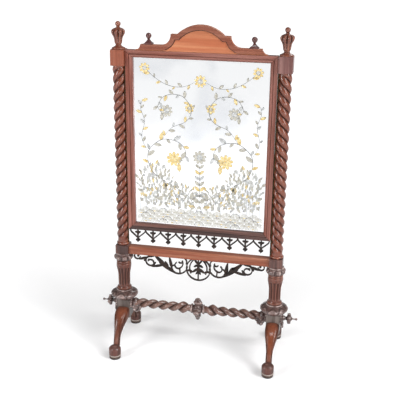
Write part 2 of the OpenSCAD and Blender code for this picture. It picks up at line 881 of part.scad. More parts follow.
// Gable from half width half to half width neck, with hollow slopes
module hollow_gable(half, neck, low, height, run) {
    fall = half - neck;
    r = (fall * fall + height * height) / (2 * min(fall, height)) * 1.4;
    along = [fall, -height] / norm([fall, -height]);
    sag = sqrt(r * r - (fall * fall + height * height) / 4);
    difference() {
        polygon([[-half, low - 1], [half, low - 1], [half, low], [neck, low + height], [-neck, low + height], [-half, low]]);
        for (s = [-1, 1])
            scale_x(s) translate([(half + neck) / 2 - along[1] * sag, low + height / 2 + along[0] * sag]) circle(r);
    }
}

// Mirrors the children in X where s is negative
module scale_x(s) {
    if (s < 0)
        mirror([1, 0]) children();
    else
        children();
}

module crest_ball_node(side) {
    color(mahogany_dark) translate([side * plinth_x, crest_t / 2 - crest_front, panel_top + wing_h]) crest_ball();
}

// Drop fret under the panel

// One unit: two ogee arms that meet at a point, a crossed stem and a trefoil drop
module drop_unit() {
    half = drop_step / 2;
    point = drop_len * 0.66;
    bend_r = drop_step * 0.33;
    bend_y = -fret_bar;
    bend_a = -50;
    foot = [half - bend_r + (bend_r - fret_bar / 2) * cos(bend_a), bend_y + (bend_r - fret_bar / 2) * sin(bend_a)];
    reach = foot + [0, point];
    trefoil = drop_len * 0.085;
    for (s = [0, 1])
        mirror([s, 0]) {
            translate([half - bend_r + fret_bar / 2, bend_y]) arc(bend_r, bend_a - 4, 8);
            translate([fret_bar / 2, 0]) translate([0, -point]) rotate(atan2(reach[1], reach[0]))
                translate([-fret_bar / 2, -fret_bar / 2]) square([norm(reach) + fret_bar / 2, fret_bar]);
        }
    translate([-fret_bar / 2, -drop_len * 0.86]) square([fret_bar, drop_len * 0.86]);
    translate([0, -drop_len * 0.58]) rotate(90) leaf(drop_len * 0.5, fret_bar * 1.9);
    for (s = [0, 1])
        mirror([s, 0]) {
            translate([0, -drop_len * 0.29]) rotate(12) leaf(half * 0.4, fret_bar * 1.6);
            translate([trefoil, -drop_len * 0.84]) circle(trefoil * 0.8);
        }
    translate([0, -drop_len]) rotate(90) leaf(drop_len * 0.34, trefoil * 2);
}

module drop_fret_node() {
    color(fret_black) translate([0, fret_t / 2, panel_bottom])
        rotate([90, 0, 0]) linear_extrude(fret_t) {
            for (i = [0 : drop_count - 1])
                translate([(i - (drop_count - 1) / 2) * drop_step, 0]) drop_unit();
            translate([-drop_count * drop_step / 2, -fret_bar]) square([drop_count * drop_step, fret_bar]);
        }
}

leg_node(-1, -1);  // left_front_leg
leg_node(-1, 1);  // left_rear_leg
leg_node(1, -1);  // right_front_leg
leg_node(1, 1);  // right_rear_leg
pad_node(-1, -1);  // left_front_pad
pad_node(-1, 1);  // left_rear_pad
pad_node(1, -1);  // right_front_pad
pad_node(1, 1);  // right_rear_pad
base_block_node(-1);  // left_base_block
base_block_node(1);  // right_base_block
bulb_node(-1);  // left_bulb
bulb_node(1);  // right_bulb
baluster_node(-1);  // left_baluster
baluster_node(1);  // right_baluster
collar_node(-1);  // left_collar
collar_node(1);  // right_collar
post_node(-1);  // left_post
post_node(1);  // right_post
finial_node(-1);  // left_finial
finial_node(1);  // right_finial
outer_bracket_node(-1);  // left_outer_bracket
outer_bracket_node(1);  // right_outer_bracket
inner_bracket_node(-1);  // left_inner_bracket
inner_bracket_node(1);  // right_inner_bracket
end_knob_node(-1);  // left_end_knob
end_knob_node(1);  // right_end_knob
stretcher_node(-1);  // left_stretcher
stretcher_node(1);  // right_stretcher
centre_boss_node();  // centre_boss
lower_rail_node();  // lower_rail
scroll_fret_node();  // scroll_fret
stile_node(-1);  // left_stile
stile_node(1);  // right_stile
top_rail_node();  // top_rail
bottom_rail_node();  // bottom_rail
tongue_node(-1);  // left_tongue
tongue_node(1);  // right_tongue
mirror_plate_node();  // mirror_plate
backboard_node();  // backboard
turn_buttons_node();  // turn_buttons
crest_board_node();  // crest_board
crest_moulding_node();  // crest_moulding
crest_ball_node(-1);  // left_crest_ball
crest_ball_node(1);  // right_crest_ball
drop_fret_node();  // drop_fret
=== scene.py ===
"""Dressed scene of a cheval fire screen: a mirror panel that rises between two rope-twist posts.

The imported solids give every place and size. The classes below hold the sizes of their own
pieces in millimetres, and place() turns a finished mesh to metres in the frame of the solids.
Turned, twisted and carved pieces stand in for their plain solids. Flat work keeps the outline
of its solid and gets eased edges. Every finish is procedural.
"""

import logging
import math
from abc import ABC, abstractmethod
from collections.abc import Callable, Sequence
from dataclasses import dataclass, field
from enum import Enum
from typing import ClassVar

import bmesh
import bpy
import numpy as np
from mathutils import Matrix, Vector


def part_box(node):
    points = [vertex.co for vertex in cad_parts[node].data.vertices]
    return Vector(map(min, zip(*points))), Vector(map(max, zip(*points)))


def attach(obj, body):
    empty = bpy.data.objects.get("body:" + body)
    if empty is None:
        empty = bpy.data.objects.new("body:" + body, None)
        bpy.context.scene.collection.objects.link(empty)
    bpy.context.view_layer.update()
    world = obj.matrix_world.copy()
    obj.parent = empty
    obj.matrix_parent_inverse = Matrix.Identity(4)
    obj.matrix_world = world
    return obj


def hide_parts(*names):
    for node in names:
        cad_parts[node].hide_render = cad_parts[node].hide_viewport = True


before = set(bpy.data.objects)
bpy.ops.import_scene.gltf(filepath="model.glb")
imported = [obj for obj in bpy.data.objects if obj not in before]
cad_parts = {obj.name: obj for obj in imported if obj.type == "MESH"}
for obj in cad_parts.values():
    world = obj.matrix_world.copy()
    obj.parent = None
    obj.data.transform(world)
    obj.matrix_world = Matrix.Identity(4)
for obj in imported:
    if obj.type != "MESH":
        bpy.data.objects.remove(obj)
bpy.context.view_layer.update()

logging.basicConfig(level=logging.INFO, format="%(message)s")
log = logging.getLogger("fire_screen")

MM = 0.001
# Name of the per-point layer that holds carved depth together with painted shade and painted highlight
CARVE_AND_SHADE = "carve"
# How strongly a cut darkens, as dark wax together with painted shade
GRIME_AND_SHADE_DEPTH = 5.0
FLAT_AREA = 1.2e-4
FULL_TURN = 2.0 * math.pi
EAST = Vector((1.0, 0.0, 0.0))
Color = tuple[float, float, float, float]
Point = tuple[float, float]
Box = tuple[Vector, Vector]
Mesh = bmesh.types.BMesh
Socket = bpy.types.NodeSocket
Sockets = bpy.types.NodeOutputs


class Body(Enum):
    """The two rigid bodies of the fire screen."""

    STAND = "stand"
    PANEL = "panel"


class Spot(Enum):
    """A place whose word is part of the names of its pieces."""

    @property
    def word(self) -> str:
        """The place's word in the names of the pieces."""
        return self.name.lower()


class Side(Spot):
    """The two posts, seen from the front."""

    LEFT = -1
    RIGHT = 1


class End(Spot):
    """The two ends of a trestle foot."""

    FRONT = -1
    REAR = 1


class Grain(Enum):
    """How the wood figure is stretched: along the height or the width."""

    UPRIGHT = (1.0, 1.0, 0.05)
    LEVEL = (0.05, 1.0, 1.0)


def ease(share: float) -> float:
    """Smooth step from 0 to 1."""
    share = min(max(share, 0.0), 1.0)
    return share * share * (3.0 - 2.0 * share)


def window(value: float, low: float, high: float, soft: float) -> float:
    """Rises from 0 to 1 at low and falls back at high.

    Args:
        value: Where to read the window.
        low: Middle of the rise.
        high: Middle of the fall.
        soft: Length of the rise and of the fall.

    Returns:
        The height of the window, from 0 to 1.
    """
    return ease((value - low) / soft + 0.5) * ease((high - value) / soft + 0.5)


def shade(color: Sequence[float], factor: float) -> Color:
    """Makes a colour with full alpha, darker or lighter than the one given."""
    return (*(min(part * factor, 1.0) for part in color[:3]), 1.0)


def bezier(points: Sequence[Point], share: float) -> Vector:
    """Finds a point on a cubic curve.

    Args:
        points: The four control points.
        share: Where on the curve, from 0 to 1.

    Returns:
        The point as a two-dimensional vector.
    """
    left = 1.0 - share
    weights = (left**3, 3 * share * left**2, 3 * share**2 * left, share**3)
    return sum((Vector(p) * w for p, w in zip(points, weights)), Vector((0.0, 0.0)))


# Finishes


class Bench:
    """Adds nodes to one shader tree and links them."""

    def __init__(self, tree: bpy.types.NodeTree) -> None:
        """Takes the tree that the nodes go into."""
        self.tree = tree

    def add(self, kind: str, **settings: object) -> bpy.types.Node:
        """Adds one node.

        Args:
            kind: The node's type.
            **settings: Properties of the node and their values.

        Returns:
            The new node.
        """
        node = self.tree.nodes.new(kind)
        for name, value in settings.items():
            setattr(node, name, value)
        return node

    def feed(self, socket: Socket, value: object) -> None:
        """Links another socket into this one, or sets a plain value.

        Args:
            socket: The input to fill.
            value: A socket, a number, a vector or a colour.
        """
        if isinstance(value, Socket):
            self.tree.links.new(value, socket)
        else:
            socket.default_value = value

    def calc(self, operation: str, first: object, second: object = 0.0) -> Socket:
        """Adds a Math node.

        Args:
            operation: The node's operation.
            first: The first value or socket.
            second: The second value or socket.

        Returns:
            The result's socket.
        """
        node = self.add("ShaderNodeMath", operation=operation)
        self.feed(node.inputs[0], first)
        self.feed(node.inputs[1], second)
        return node.outputs[0]

    def aim(self, operation: str, first: object, second: object = (0.0, 0.0, 0.0)) -> Socket:
        """Adds a Vector Math node.

        Args:
            operation: The node's operation.
            first: The first vector or socket.
            second: The second vector or socket.

        Returns:
            The result's socket.
        """
        node = self.add("ShaderNodeVectorMath", operation=operation)
        self.feed(node.inputs[0], first)
        self.feed(node.inputs[1], second)
        return node.outputs[0]

    def axes(self, vector: object) -> Sockets:
        """Splits a vector into the sockets of its three parts."""
        node = self.add("ShaderNodeSeparateXYZ")
        self.feed(node.inputs[0], vector)
        return node.outputs

    def blend(self, share: object, first: object, second: object) -> Socket:
        """Mixes two colours.

        Args:
            share: How much of the second colour.
            first: The first colour or socket.
            second: The second colour or socket.

        Returns:
            The mixed colour's socket.
        """
        node = self.add("ShaderNodeMix", data_type="RGBA")
        self.feed(node.inputs[0], share)
        self.feed(node.inputs[6], first)
        self.feed(node.inputs[7], second)
        return node.outputs[2]

    def spread(self, value: object, low: float, high: float, floor: float = 0.0, top: float = 1.0) -> Socket:
        """Stretches a range of values onto another, and clamps it.

        Args:
            value: The value or socket to stretch.
            low: The value that becomes floor.
            high: The value that becomes top.
            floor: The lowest result.
            top: The highest result.

        Returns:
            The stretched value's socket.
        """
        node = self.add("ShaderNodeMapRange")
        for index, item in enumerate((value, low, high, floor, top)):
            self.feed(node.inputs[index], item)
        return node.outputs[0]

    def noise(
        self, place: object, scale: object, detail: float = 3.0, coarse: float = 0.5, bend: float = 0.0
    ) -> Socket:
        """Adds a noise.

        Args:
            place: Where the noise is read.
            scale: How fine it is.
            detail: How many finer noises lie on it.
            coarse: How strong the finer noises are.
            bend: How much the noise is distorted.

        Returns:
            The noise's value socket.
        """
        node = self.add("ShaderNodeTexNoise")
        named = {"Vector": place, "Scale": scale, "Detail": detail, "Roughness": coarse, "Distortion": bend}
        for label, value in named.items():
            self.feed(node.inputs[label], value)
        return node.outputs["Fac"]

    def stretched(self, scale: Sequence[float] = (1.0, 1.0, 1.0)) -> Socket:
        """Object coordinates, stretched by a Mapping node.

        Args:
            scale: The factors along the three axes.

        Returns:
            The coordinates' socket.
        """
        node = self.add("ShaderNodeMapping")
        self.feed(node.inputs["Vector"], self.add("ShaderNodeTexCoord").outputs["Object"])
        self.feed(node.inputs["Scale"], tuple(scale))
        return node.outputs["Vector"]

    def relief(self, name: str) -> Socket:
        """The value of a piece's own attribute."""
        return self.add("ShaderNodeAttribute", attribute_name=name).outputs["Fac"]


class SharedEffect(ABC):
    """An effect that several finishes use: a node group that is built once."""

    label: ClassVar[str]
    inputs: ClassVar[dict[str, str]]
    outputs: ClassVar[dict[str, str]]

    @classmethod
    def tree(cls) -> bpy.types.NodeTree:
        """Builds the group, or finds it where it is there already.

        Returns:
            The group's node tree.
        """
        found = bpy.data.node_groups.get(cls.label)
        if found is not None:
            return found
        tree = bpy.data.node_groups.new(cls.label, "ShaderNodeTree")
        for way, sockets in (("INPUT", cls.inputs), ("OUTPUT", cls.outputs)):
            for label, kind in sockets.items():
                tree.interface.new_socket(name=label, in_out=way, socket_type=f"NodeSocket{kind}")
        bench = Bench(tree)
        results = cls.lay_out(bench, bench.add("NodeGroupInput").outputs)
        end = bench.add("NodeGroupOutput")
        for label, value in results.items():
            bench.feed(end.inputs[label], value)
        return tree

    @classmethod
    @abstractmethod
    def lay_out(cls, bench: Bench, given: Sockets) -> dict[str, Socket]:
        """Adds the group's own nodes.

        Args:
            bench: The bench of the group's tree.
            given: The sockets of the group's inputs.

        Returns:
            The socket for each of the group's outputs.
        """

    @classmethod
    def place(cls, bench: Bench, **values: object) -> Sockets:
        """Puts the group in a material.

        Args:
            bench: The bench of the material's tree.
            **values: A value or socket for each input that isn't left as it is.

        Returns:
            The group's output sockets.
        """
        node = bench.add("ShaderNodeGroup", node_tree=cls.tree())
        for label, value in values.items():
            bench.feed(node.inputs[label], value)
        return node.outputs


class WoodFigure(SharedEffect):
    """Broad figure, fine streaks and pores of a wood."""

    label = "wood_figure"
    inputs = {"Place": "Vector", "Dark": "Color", "Mid": "Color", "Light": "Color", "Pores": "Float"}
    outputs = {"Color": "Color", "Height": "Float"}

    @classmethod
    def lay_out(cls, bench: Bench, given: Sockets) -> dict[str, Socket]:
        """Adds the group's own nodes.

        Args:
            bench: The bench of the group's tree.
            given: The sockets of the group's inputs.

        Returns:
            The socket for each of the group's outputs.
        """
        broad = bench.noise(given["Place"], 11.0, 2.0, 0.5, 0.9)
        streak = bench.noise(given["Place"], 240.0, 4.0, 0.6, 0.2)
        dash = bench.noise(given["Place"], 1100.0, 1.0)
        figure = bench.calc("ADD", bench.calc("MULTIPLY", broad, 0.55), bench.calc("MULTIPLY", streak, 0.45))
        lower = bench.blend(bench.spread(figure, 0.34, 0.50), given["Dark"], given["Mid"])
        color = bench.blend(bench.spread(figure, 0.50, 0.68), lower, given["Light"])
        pore = bench.calc("MULTIPLY", bench.spread(dash, 0.60, 0.70), given["Pores"])
        height = bench.calc("SUBTRACT", bench.calc("MULTIPLY", streak, 0.5), pore)
        return {"Color": bench.blend(pore, color, given["Dark"]), "Height": height}


class Patina(SharedEffect):
    """Old dark wax in hollows together with painted shade there, polish rubbed off ridges together with a painted
    highlight there, and cloudy gloss.
    """

    label = "patina"
    inputs = {
        "Place": "Vector", "Color": "Color", "Hollow": "Float", "Ridge": "Float", "GrimeAndShade": "Color", "Rub": "Color",
        "Gloss": "Float", "Cloud": "Float",
    }
    outputs = {"Color": "Color", "Roughness": "Float", "Coat": "Float"}

    @classmethod
    def lay_out(cls, bench: Bench, given: Sockets) -> dict[str, Socket]:
        """Adds the group's own nodes.

        Args:
            bench: The bench of the group's tree.
            given: The sockets of the group's inputs.

        Returns:
            The socket for each of the group's outputs.
        """
        cloud = bench.noise(given["Place"], given["Cloud"], 4.0)
        patchy = bench.spread(cloud, 0.30, 0.70, 0.65, 1.25)
        # Darkening in hollows and on marked places: old dark wax together with painted shade
        grime_and_shade = bench.spread(bench.calc("MULTIPLY", given["Hollow"], patchy), 0.0, 1.0)
        worn = bench.spread(cloud, 0.42, 0.66, 0.15, 1.0)
        # Lighter colour on ridges and edges: rubbed polish together with a painted highlight
        rub = bench.spread(bench.calc("MULTIPLY", given["Ridge"], worn), 0.0, 1.0, 0.0, 0.7)
        tinted = bench.blend(bench.calc("MULTIPLY", grime_and_shade, 0.9), given["Color"], given["GrimeAndShade"])
        dulled = bench.calc("ADD", given["Gloss"], bench.calc("MULTIPLY", grime_and_shade, 0.30))
        return {
            "Color": bench.blend(rub, tinted, given["Rub"]),
            "Roughness": bench.calc("ADD", dulled, bench.spread(cloud, 0.25, 0.75, -0.03, 0.04)),
            "Coat": bench.spread(grime_and_shade, 0.15, 0.9, 1.0, 0.05),
        }


class EdgeRub(SharedEffect):
    """A mask of the edges of a box, for flat work whose edges are handled."""

    label = "edge_rub"
    inputs = {"Place": "Vector", "Centre": "Vector", "Half": "Vector", "Width": "Float"}
    outputs = {"Mask": "Float"}

    @classmethod
    def lay_out(cls, bench: Bench, given: Sockets) -> dict[str, Socket]:
        """Adds the group's own nodes.

        Args:
            bench: The bench of the group's tree.
            given: The sockets of the group's inputs.

        Returns:
            The socket for each of the group's outputs.
        """
        away = bench.aim("ABSOLUTE", bench.aim("SUBTRACT", given["Place"], given["Centre"]))
        depth = bench.axes(bench.aim("SUBTRACT", given["Half"], away))
        low = bench.calc("MINIMUM", depth[0], depth[1])
        high = bench.calc("MAXIMUM", depth[0], depth[1])
        second = bench.calc("MAXIMUM", low, bench.calc("MINIMUM", high, depth[2]))
        ragged = bench.spread(bench.noise(given["Place"], 90.0, 4.0), 0.3, 0.7, 0.35, 1.3)
        share = bench.calc("DIVIDE", second, bench.calc("MULTIPLY", given["Width"], ragged))
        return {"Mask": bench.spread(share, 0.0, 1.0, 1.0, 0.0)}


class DustVeil(SharedEffect):
    """Thin dust on the faces that look up."""

    label = "dust_veil"
    inputs = {"Place": "Vector", "Color": "Color", "Roughness": "Float", "Amount": "Float"}
    outputs = {"Color": "Color", "Roughness": "Float"}

    @classmethod
    def lay_out(cls, bench: Bench, given: Sockets) -> dict[str, Socket]:
        """Adds the group's own nodes.

        Args:
            bench: The bench of the group's tree.
            given: The sockets of the group's inputs.

        Returns:
            The socket for each of the group's outputs.
        """
        facing = bench.axes(bench.add("ShaderNodeNewGeometry").outputs["Normal"])
        upward = bench.spread(facing[2], 0.55, 1.0)
        specks = bench.spread(bench.noise(given["Place"], 260.0, 5.0, 0.7), 0.35, 0.75, 0.3, 1.0)
        veil = bench.calc("MULTIPLY", bench.calc("MULTIPLY", upward, specks), given["Amount"])
        return {
            "Color": bench.blend(veil, given["Color"], (0.46, 0.42, 0.38, 1.0)),
            "Roughness": bench.calc("ADD", given["Roughness"], veil),
        }


class Canvas(Bench):
    """The bench of a new material, which knows its shader, its grain and its piece's box."""

    def __init__(self, name: str, grain: Grain, block: Box | None) -> None:
        """Starts the material.

        Args:
            name: The material's name.
            grain: The direction of the piece's grain.
            block: The box whose edges are rubbed, in metres, or None.
        """
        self.material = bpy.data.materials.new(name)
        self.material.use_nodes = True
        super().__init__(self.material.node_tree)
        self.shader = next(n for n in self.tree.nodes if n.type == "BSDF_PRINCIPLED")
        self.grain = grain
        self.block = block

    def give(self, label: str, value: object) -> None:
        """Feeds or sets one socket of the shader."""
        self.feed(self.shader.inputs[label], value)

    def bump(self, height: object, strength: float, distance: float) -> None:
        """Gives the shader a normal from a height.

        Args:
            height: The height's socket.
            strength: How strongly it shows.
            distance: How high it is, in metres.
        """
        node = self.add("ShaderNodeBump")
        for label, value in {"Strength": strength, "Distance": distance, "Height": height}.items():
            self.feed(node.inputs[label], value)
        self.give("Normal", node.outputs["Normal"])

    def edges(self, width: float) -> Socket:
        """Masks the edges of the piece's box.

        Args:
            width: How wide the mask is, in metres.

        Returns:
            The mask's socket.
        """
        low, high = self.block
        centre = tuple((low + high) / 2.0)
        half = tuple((high - low) / 2.0)
        return EdgeRub.place(self, Place=self.stretched(), Centre=centre, Half=half, Width=width)["Mask"]

    def dusted(self, worn: Sockets, amount: float) -> None:
        """Gives the shader the colour and gloss of a worn surface under thin dust.

        Args:
            worn: The outputs of the patina.
            amount: How thick the dust lies.
        """
        colors = {"Color": worn["Color"], "Roughness": worn["Roughness"]}
        veil = DustVeil.place(self, Place=self.stretched(), Amount=amount, **colors)
        self.give("Base Color", veil["Color"])
        self.give("Roughness", veil["Roughness"])


@dataclass(frozen=True)
class Finish(ABC):
    """What a piece is finished in, and the slot of the record that it belongs to."""

    label: str
    slot: str

    edged: ClassVar[bool] = False

    def material(self, grain: Grain, block: Box | None) -> bpy.types.Material:
        """Makes the material, or finds it where it is made already.

        Args:
            grain: The direction of the piece's grain.
            block: The box whose edges are rubbed, in metres, or None.

        Returns:
            The material.
        """
        name = f"{self.label}_{grain.name.lower()}"
        box = block if self.edged else None
        found = bpy.data.materials.get(name)
        if found is not None and box is None:
            return found
        canvas = Canvas(name if box is None else f"{name}_block", grain, box)
        self.lay_on(canvas)
        return canvas.material

    @abstractmethod
    def lay_on(self, canvas: Canvas) -> None:
        """Lays the finish on.

        Args:
            canvas: The bench of the new material.
        """


@dataclass(frozen=True)
class WoodFinish(Finish):
    """French-polished wood: the middle tone of its figure, and the tone where it is rubbed, which also paints the
    highlight on proud places.
    """

    edged: ClassVar[bool] = True

    tone: Sequence[float]
    rub: Sequence[float]
    contrast: float = 1.0
    gloss: float = 0.42
    pores: float = 0.55
    dust: float = 0.06
    edge_width: float = 0.0028
    polish: float = 0.35
    coat_gloss: float = 0.18

    def lay_on(self, canvas: Canvas) -> None:
        """Lays on the wood with its figure, dark wax with painted shade in hollows, rubbed ridges with a painted
        highlight, and thin dust.

        Args:
            canvas: The bench of the new material.
        """
        streaks = canvas.stretched(canvas.grain.value)
        figure = WoodFigure.place(
            canvas, Place=streaks, Dark=shade(self.tone, 1.0 - 0.55 * self.contrast), Mid=shade(self.tone, 1.0),
            Light=shade(self.tone, 1.0 + 0.75 * self.contrast), Pores=self.pores,
        )
        ridge = canvas.relief("ridge")
        if canvas.block is not None:
            ridge = canvas.calc("MAXIMUM", ridge, canvas.edges(self.edge_width))
        # Hollows and the dark marks of a piece get dark wax and painted shade; ridges and edges get rubbed polish and
        # painted highlight
        worn = Patina.place(
            canvas, Place=streaks, Color=figure["Color"], Hollow=canvas.relief("hollow"), Ridge=ridge,
            GrimeAndShade=shade(self.tone, 0.09), Rub=shade(self.rub, 1.0), Gloss=self.gloss, Cloud=70.0,
        )
        canvas.dusted(worn, self.dust)
        if self.polish > 0.0:
            canvas.give("Coat Weight", canvas.calc("MULTIPLY", worn["Coat"], self.polish))
            canvas.give("Coat Roughness", self.coat_gloss)
        canvas.give("Specular IOR Level", 0.2)
        canvas.bump(figure["Height"], 0.25, 0.0002)


@dataclass(frozen=True)
class FretFinish(Finish):
    """Ebonised fretwork, blackened by hand, with brown wood where it is rubbed."""

    black: Color = (0.006, 0.005, 0.005, 1.0)
    grey: Color = (0.024, 0.021, 0.020, 1.0)
    brown: Color = (0.050, 0.028, 0.020, 1.0)

    def lay_on(self, canvas: Canvas) -> None:
        """Lays on the black with its brush marks and rubbed edges.

        Args:
            canvas: The bench of the new material.
        """
        brush = canvas.noise(canvas.stretched(canvas.grain.value), 420.0, 4.0, 0.6)
        base = canvas.blend(canvas.spread(brush, 0.35, 0.70), self.black, self.grey)
        ridge = canvas.relief("ridge")
        place = canvas.stretched()
        worn = Patina.place(canvas, Place=place, Color=base, Ridge=ridge, Rub=self.brown, Gloss=0.38, Cloud=120.0)
        canvas.dusted(worn, 0.10)
        canvas.give("Specular IOR Level", 0.2)
        canvas.bump(brush, 0.2, 0.0002)


@dataclass(frozen=True)
class BrassFinish(Finish):
    """Old brass, tarnished in patches."""

    bright: Color = (0.62, 0.44, 0.19, 1.0)
    tarnish: Color = (0.16, 0.10, 0.045, 1.0)

    def lay_on(self, canvas: Canvas) -> None:
        """Lays on the brass with its tarnish and fine scratches.

        Args:
            canvas: The bench of the new material.
        """
        patches = canvas.noise(canvas.stretched(), 130.0, 5.0, 0.6, 0.5)
        canvas.give("Base Color", canvas.blend(canvas.spread(patches, 0.42, 0.64), self.bright, self.tarnish))
        canvas.give("Roughness", canvas.spread(patches, 0.35, 0.70, 0.24, 0.55))
        canvas.give("Metallic", 1.0)
        canvas.bump(canvas.noise(canvas.stretched(canvas.grain.value), 900.0, 3.0), 0.3, 0.0001)


@dataclass(frozen=True)
class MirrorFinish(Finish):
    """Old silvered glass with faint clouds and small spots towards its edges."""

    edged: ClassVar[bool] = True

    silver: Color = (0.92, 0.93, 0.94, 1.0)
    cloudy: Color = (0.74, 0.76, 0.79, 1.0)
    spot: Color = (0.35, 0.32, 0.28, 1.0)

    def lay_on(self, canvas: Canvas) -> None:
        """Lays on the silvering with its clouds and spots.

        Args:
            canvas: The bench of the new material.
        """
        place = canvas.stretched()
        cloud = canvas.noise(place, 4.5, 3.0, 0.45, 0.6)
        color = canvas.blend(canvas.spread(cloud, 0.48, 0.68), self.silver, self.cloudy)
        specks = canvas.spread(canvas.noise(place, 240.0, 2.0), 0.60, 0.68)
        spots = canvas.calc("MULTIPLY", canvas.calc("MULTIPLY", specks, canvas.edges(0.022)), 0.55)
        canvas.give("Base Color", canvas.blend(spots, color, self.spot))
        hazy = canvas.spread(cloud, 0.40, 0.70, 0.05, 0.16)
        canvas.give("Roughness", canvas.calc("ADD", hazy, canvas.calc("MULTIPLY", spots, 0.4)))
        canvas.give("Metallic", 1.0)


@dataclass(frozen=True)
class PaintFinish(Finish):
    """Paint on the glass, thin in places."""

    full: Color
    thin: Color

    def lay_on(self, canvas: Canvas) -> None:
        """Lays on the paint, whose colour changes with how thick it lies.

        Args:
            canvas: The bench of the new material.
        """
        load = canvas.noise(canvas.stretched(), 140.0, 4.0, 0.6)
        canvas.give("Base Color", canvas.blend(canvas.spread(load, 0.38, 0.66), self.full, self.thin))
        canvas.give("Roughness", canvas.spread(load, 0.3, 0.7, 0.4, 0.65))
        canvas.bump(load, 0.2, 0.0001)


@dataclass(frozen=True)
class PadFinish(Finish):
    """Leather under a foot or let into it, darker along its lower edge."""

    pale: Color
    worn: Color
    dirt: Color = (0.012, 0.009, 0.008, 1.0)

    def lay_on(self, canvas: Canvas) -> None:
        """Lays on the leather with its dark lower line.

        Args:
            canvas: The bench of the new material.
        """
        place = canvas.stretched()
        fibre = canvas.noise(place, 380.0, 4.0, 0.65)
        base = canvas.blend(canvas.spread(fibre, 0.35, 0.70), self.pale, self.worn)
        ragged = canvas.calc("ADD", canvas.axes(place)[2], canvas.spread(fibre, 0.3, 0.7, -0.0008, 0.0008))
        line = canvas.spread(ragged, 0.0030, 0.0042, 1.0, 0.0)
        canvas.give("Base Color", canvas.blend(line, base, self.dirt))
        canvas.give("Roughness", canvas.spread(fibre, 0.3, 0.7, 0.65, 0.9))
        canvas.bump(fibre, 0.5, 0.0003)


# The second colour of each wood, for rubbed places, is both rubbed polish and a painted highlight on proud places;
# the pale ones of the stretcher and of dark mahogany paint the highlights on the stretcher's strands, the bulbs'
# raised lines and the other carving
MAHOGANY = WoodFinish("mahogany", "mahogany", (0.110, 0.022, 0.008), (0.36, 0.13, 0.07), polish=1.0)
LEG_MAHOGANY = WoodFinish("leg_mahogany", "mahogany", (0.145, 0.033, 0.010), (0.32, 0.19, 0.16), polish=0.7)
BALUSTER_MAHOGANY = WoodFinish("baluster_mahogany", "mahogany", (0.080, 0.019, 0.010), (0.34, 0.14, 0.09), polish=0.7)
FOOT_MAHOGANY = WoodFinish("foot_mahogany", "mahogany", (0.085, 0.024, 0.016), (0.26, 0.13, 0.11), polish=0.7)
FRAME_MAHOGANY = WoodFinish("frame_mahogany", "mahogany", (0.135, 0.030, 0.015), (0.34, 0.15, 0.12), polish=0.45)
RED_MAHOGANY = WoodFinish("red_mahogany", "mahogany", (0.180, 0.043, 0.020), (0.36, 0.15, 0.095), 0.7)
PINK_MAHOGANY = WoodFinish("pink_mahogany", "mahogany", (0.100, 0.038, 0.034), (0.32, 0.17, 0.15), 0.7)
LOW_MAHOGANY = WoodFinish("low_mahogany", "mahogany", (0.022, 0.009, 0.008), (0.22, 0.10, 0.08), polish=0.5)
STRETCHER_MAHOGANY = WoodFinish(
    "stretcher_mahogany", "mahogany", (0.115, 0.050, 0.037), (0.50, 0.32, 0.26), polish=0.9
)
DARK_MAHOGANY = WoodFinish("dark_mahogany", "mahogany_dark", (0.054, 0.023, 0.019), (0.66, 0.50, 0.46), polish=1.0)
BALL_MAHOGANY = WoodFinish("ball_mahogany", "mahogany_dark", (0.046, 0.011, 0.010), (0.16, 0.06, 0.05), polish=0.9)
BLOCK_MAHOGANY = WoodFinish("block_mahogany", "mahogany_dark", (0.066, 0.050, 0.044), (0.34, 0.28, 0.25), 0.8)
LIGHT_MAHOGANY = WoodFinish(
    "light_mahogany", "mahogany_light", (0.400, 0.110, 0.047), (0.56, 0.24, 0.12), 0.35, pores=0.3, polish=0.2
)
RAIL_MAHOGANY = WoodFinish("rail_mahogany", "mahogany_light", (0.180, 0.043, 0.019), (0.40, 0.17, 0.10), 0.8)
PINE = WoodFinish("pine", "pine", (0.40, 0.25, 0.13), (0.55, 0.42, 0.28), 0.5, gloss=0.72, pores=0.2, polish=0.0)
FRET_BLACK = FretFinish("ebonised_fret", "fret_black")
BRASS = BrassFinish("old_brass", "brass")
# Brass darkened to near black: on the tongues and the strips beside the posts it is painted shade for the gap between
# stile and post
SHADE_DARK_BRASS = BrassFinish("shade_dark_brass", "brass", (0.060, 0.038, 0.020, 1.0), (0.018, 0.012, 0.008, 1.0))
SILVERING = MirrorFinish("silvering", "mirror")
FOOT_PAD = PadFinish("pad_leather", "foot_pad", (0.10, 0.075, 0.060, 1.0), (0.050, 0.038, 0.032, 1.0))
FOOT_RING = PadFinish("foot_ring", "foot_pad", (0.44, 0.37, 0.33, 1.0), (0.28, 0.22, 0.19, 1.0))
LINE_PAINT = PaintFinish("line_paint", "mirror", (0.070, 0.070, 0.066, 1.0), (0.28, 0.28, 0.27, 1.0))
FAINT_PAINT = PaintFinish("faint_paint", "mirror", (0.36, 0.34, 0.28, 1.0), (0.60, 0.58, 0.52, 1.0))
GREY_PAINT = PaintFinish("grey_paint", "mirror", (0.36, 0.37, 0.37, 1.0), (0.66, 0.67, 0.67, 1.0))
OCHRE_PAINT = PaintFinish("ochre_paint", "mirror", (0.62, 0.42, 0.13, 1.0), (0.84, 0.74, 0.42, 1.0))


# Meshes


def carve_and_shade_layer(bm: Mesh) -> bmesh.types.BMLayerItem:
    """The layer that holds how deep each point of a mesh is carved, with painted shade and painted highlight added on
    some pieces: 1 is dark and -1 is light.
    """
    return bm.verts.layers.float.get(CARVE_AND_SHADE) or bm.verts.layers.float.new(CARVE_AND_SHADE)


def outward(bm: Mesh) -> Mesh:
    """Turns every face of a closed mesh outwards."""
    bmesh.ops.recalc_face_normals(bm, faces=bm.faces)
    return bm


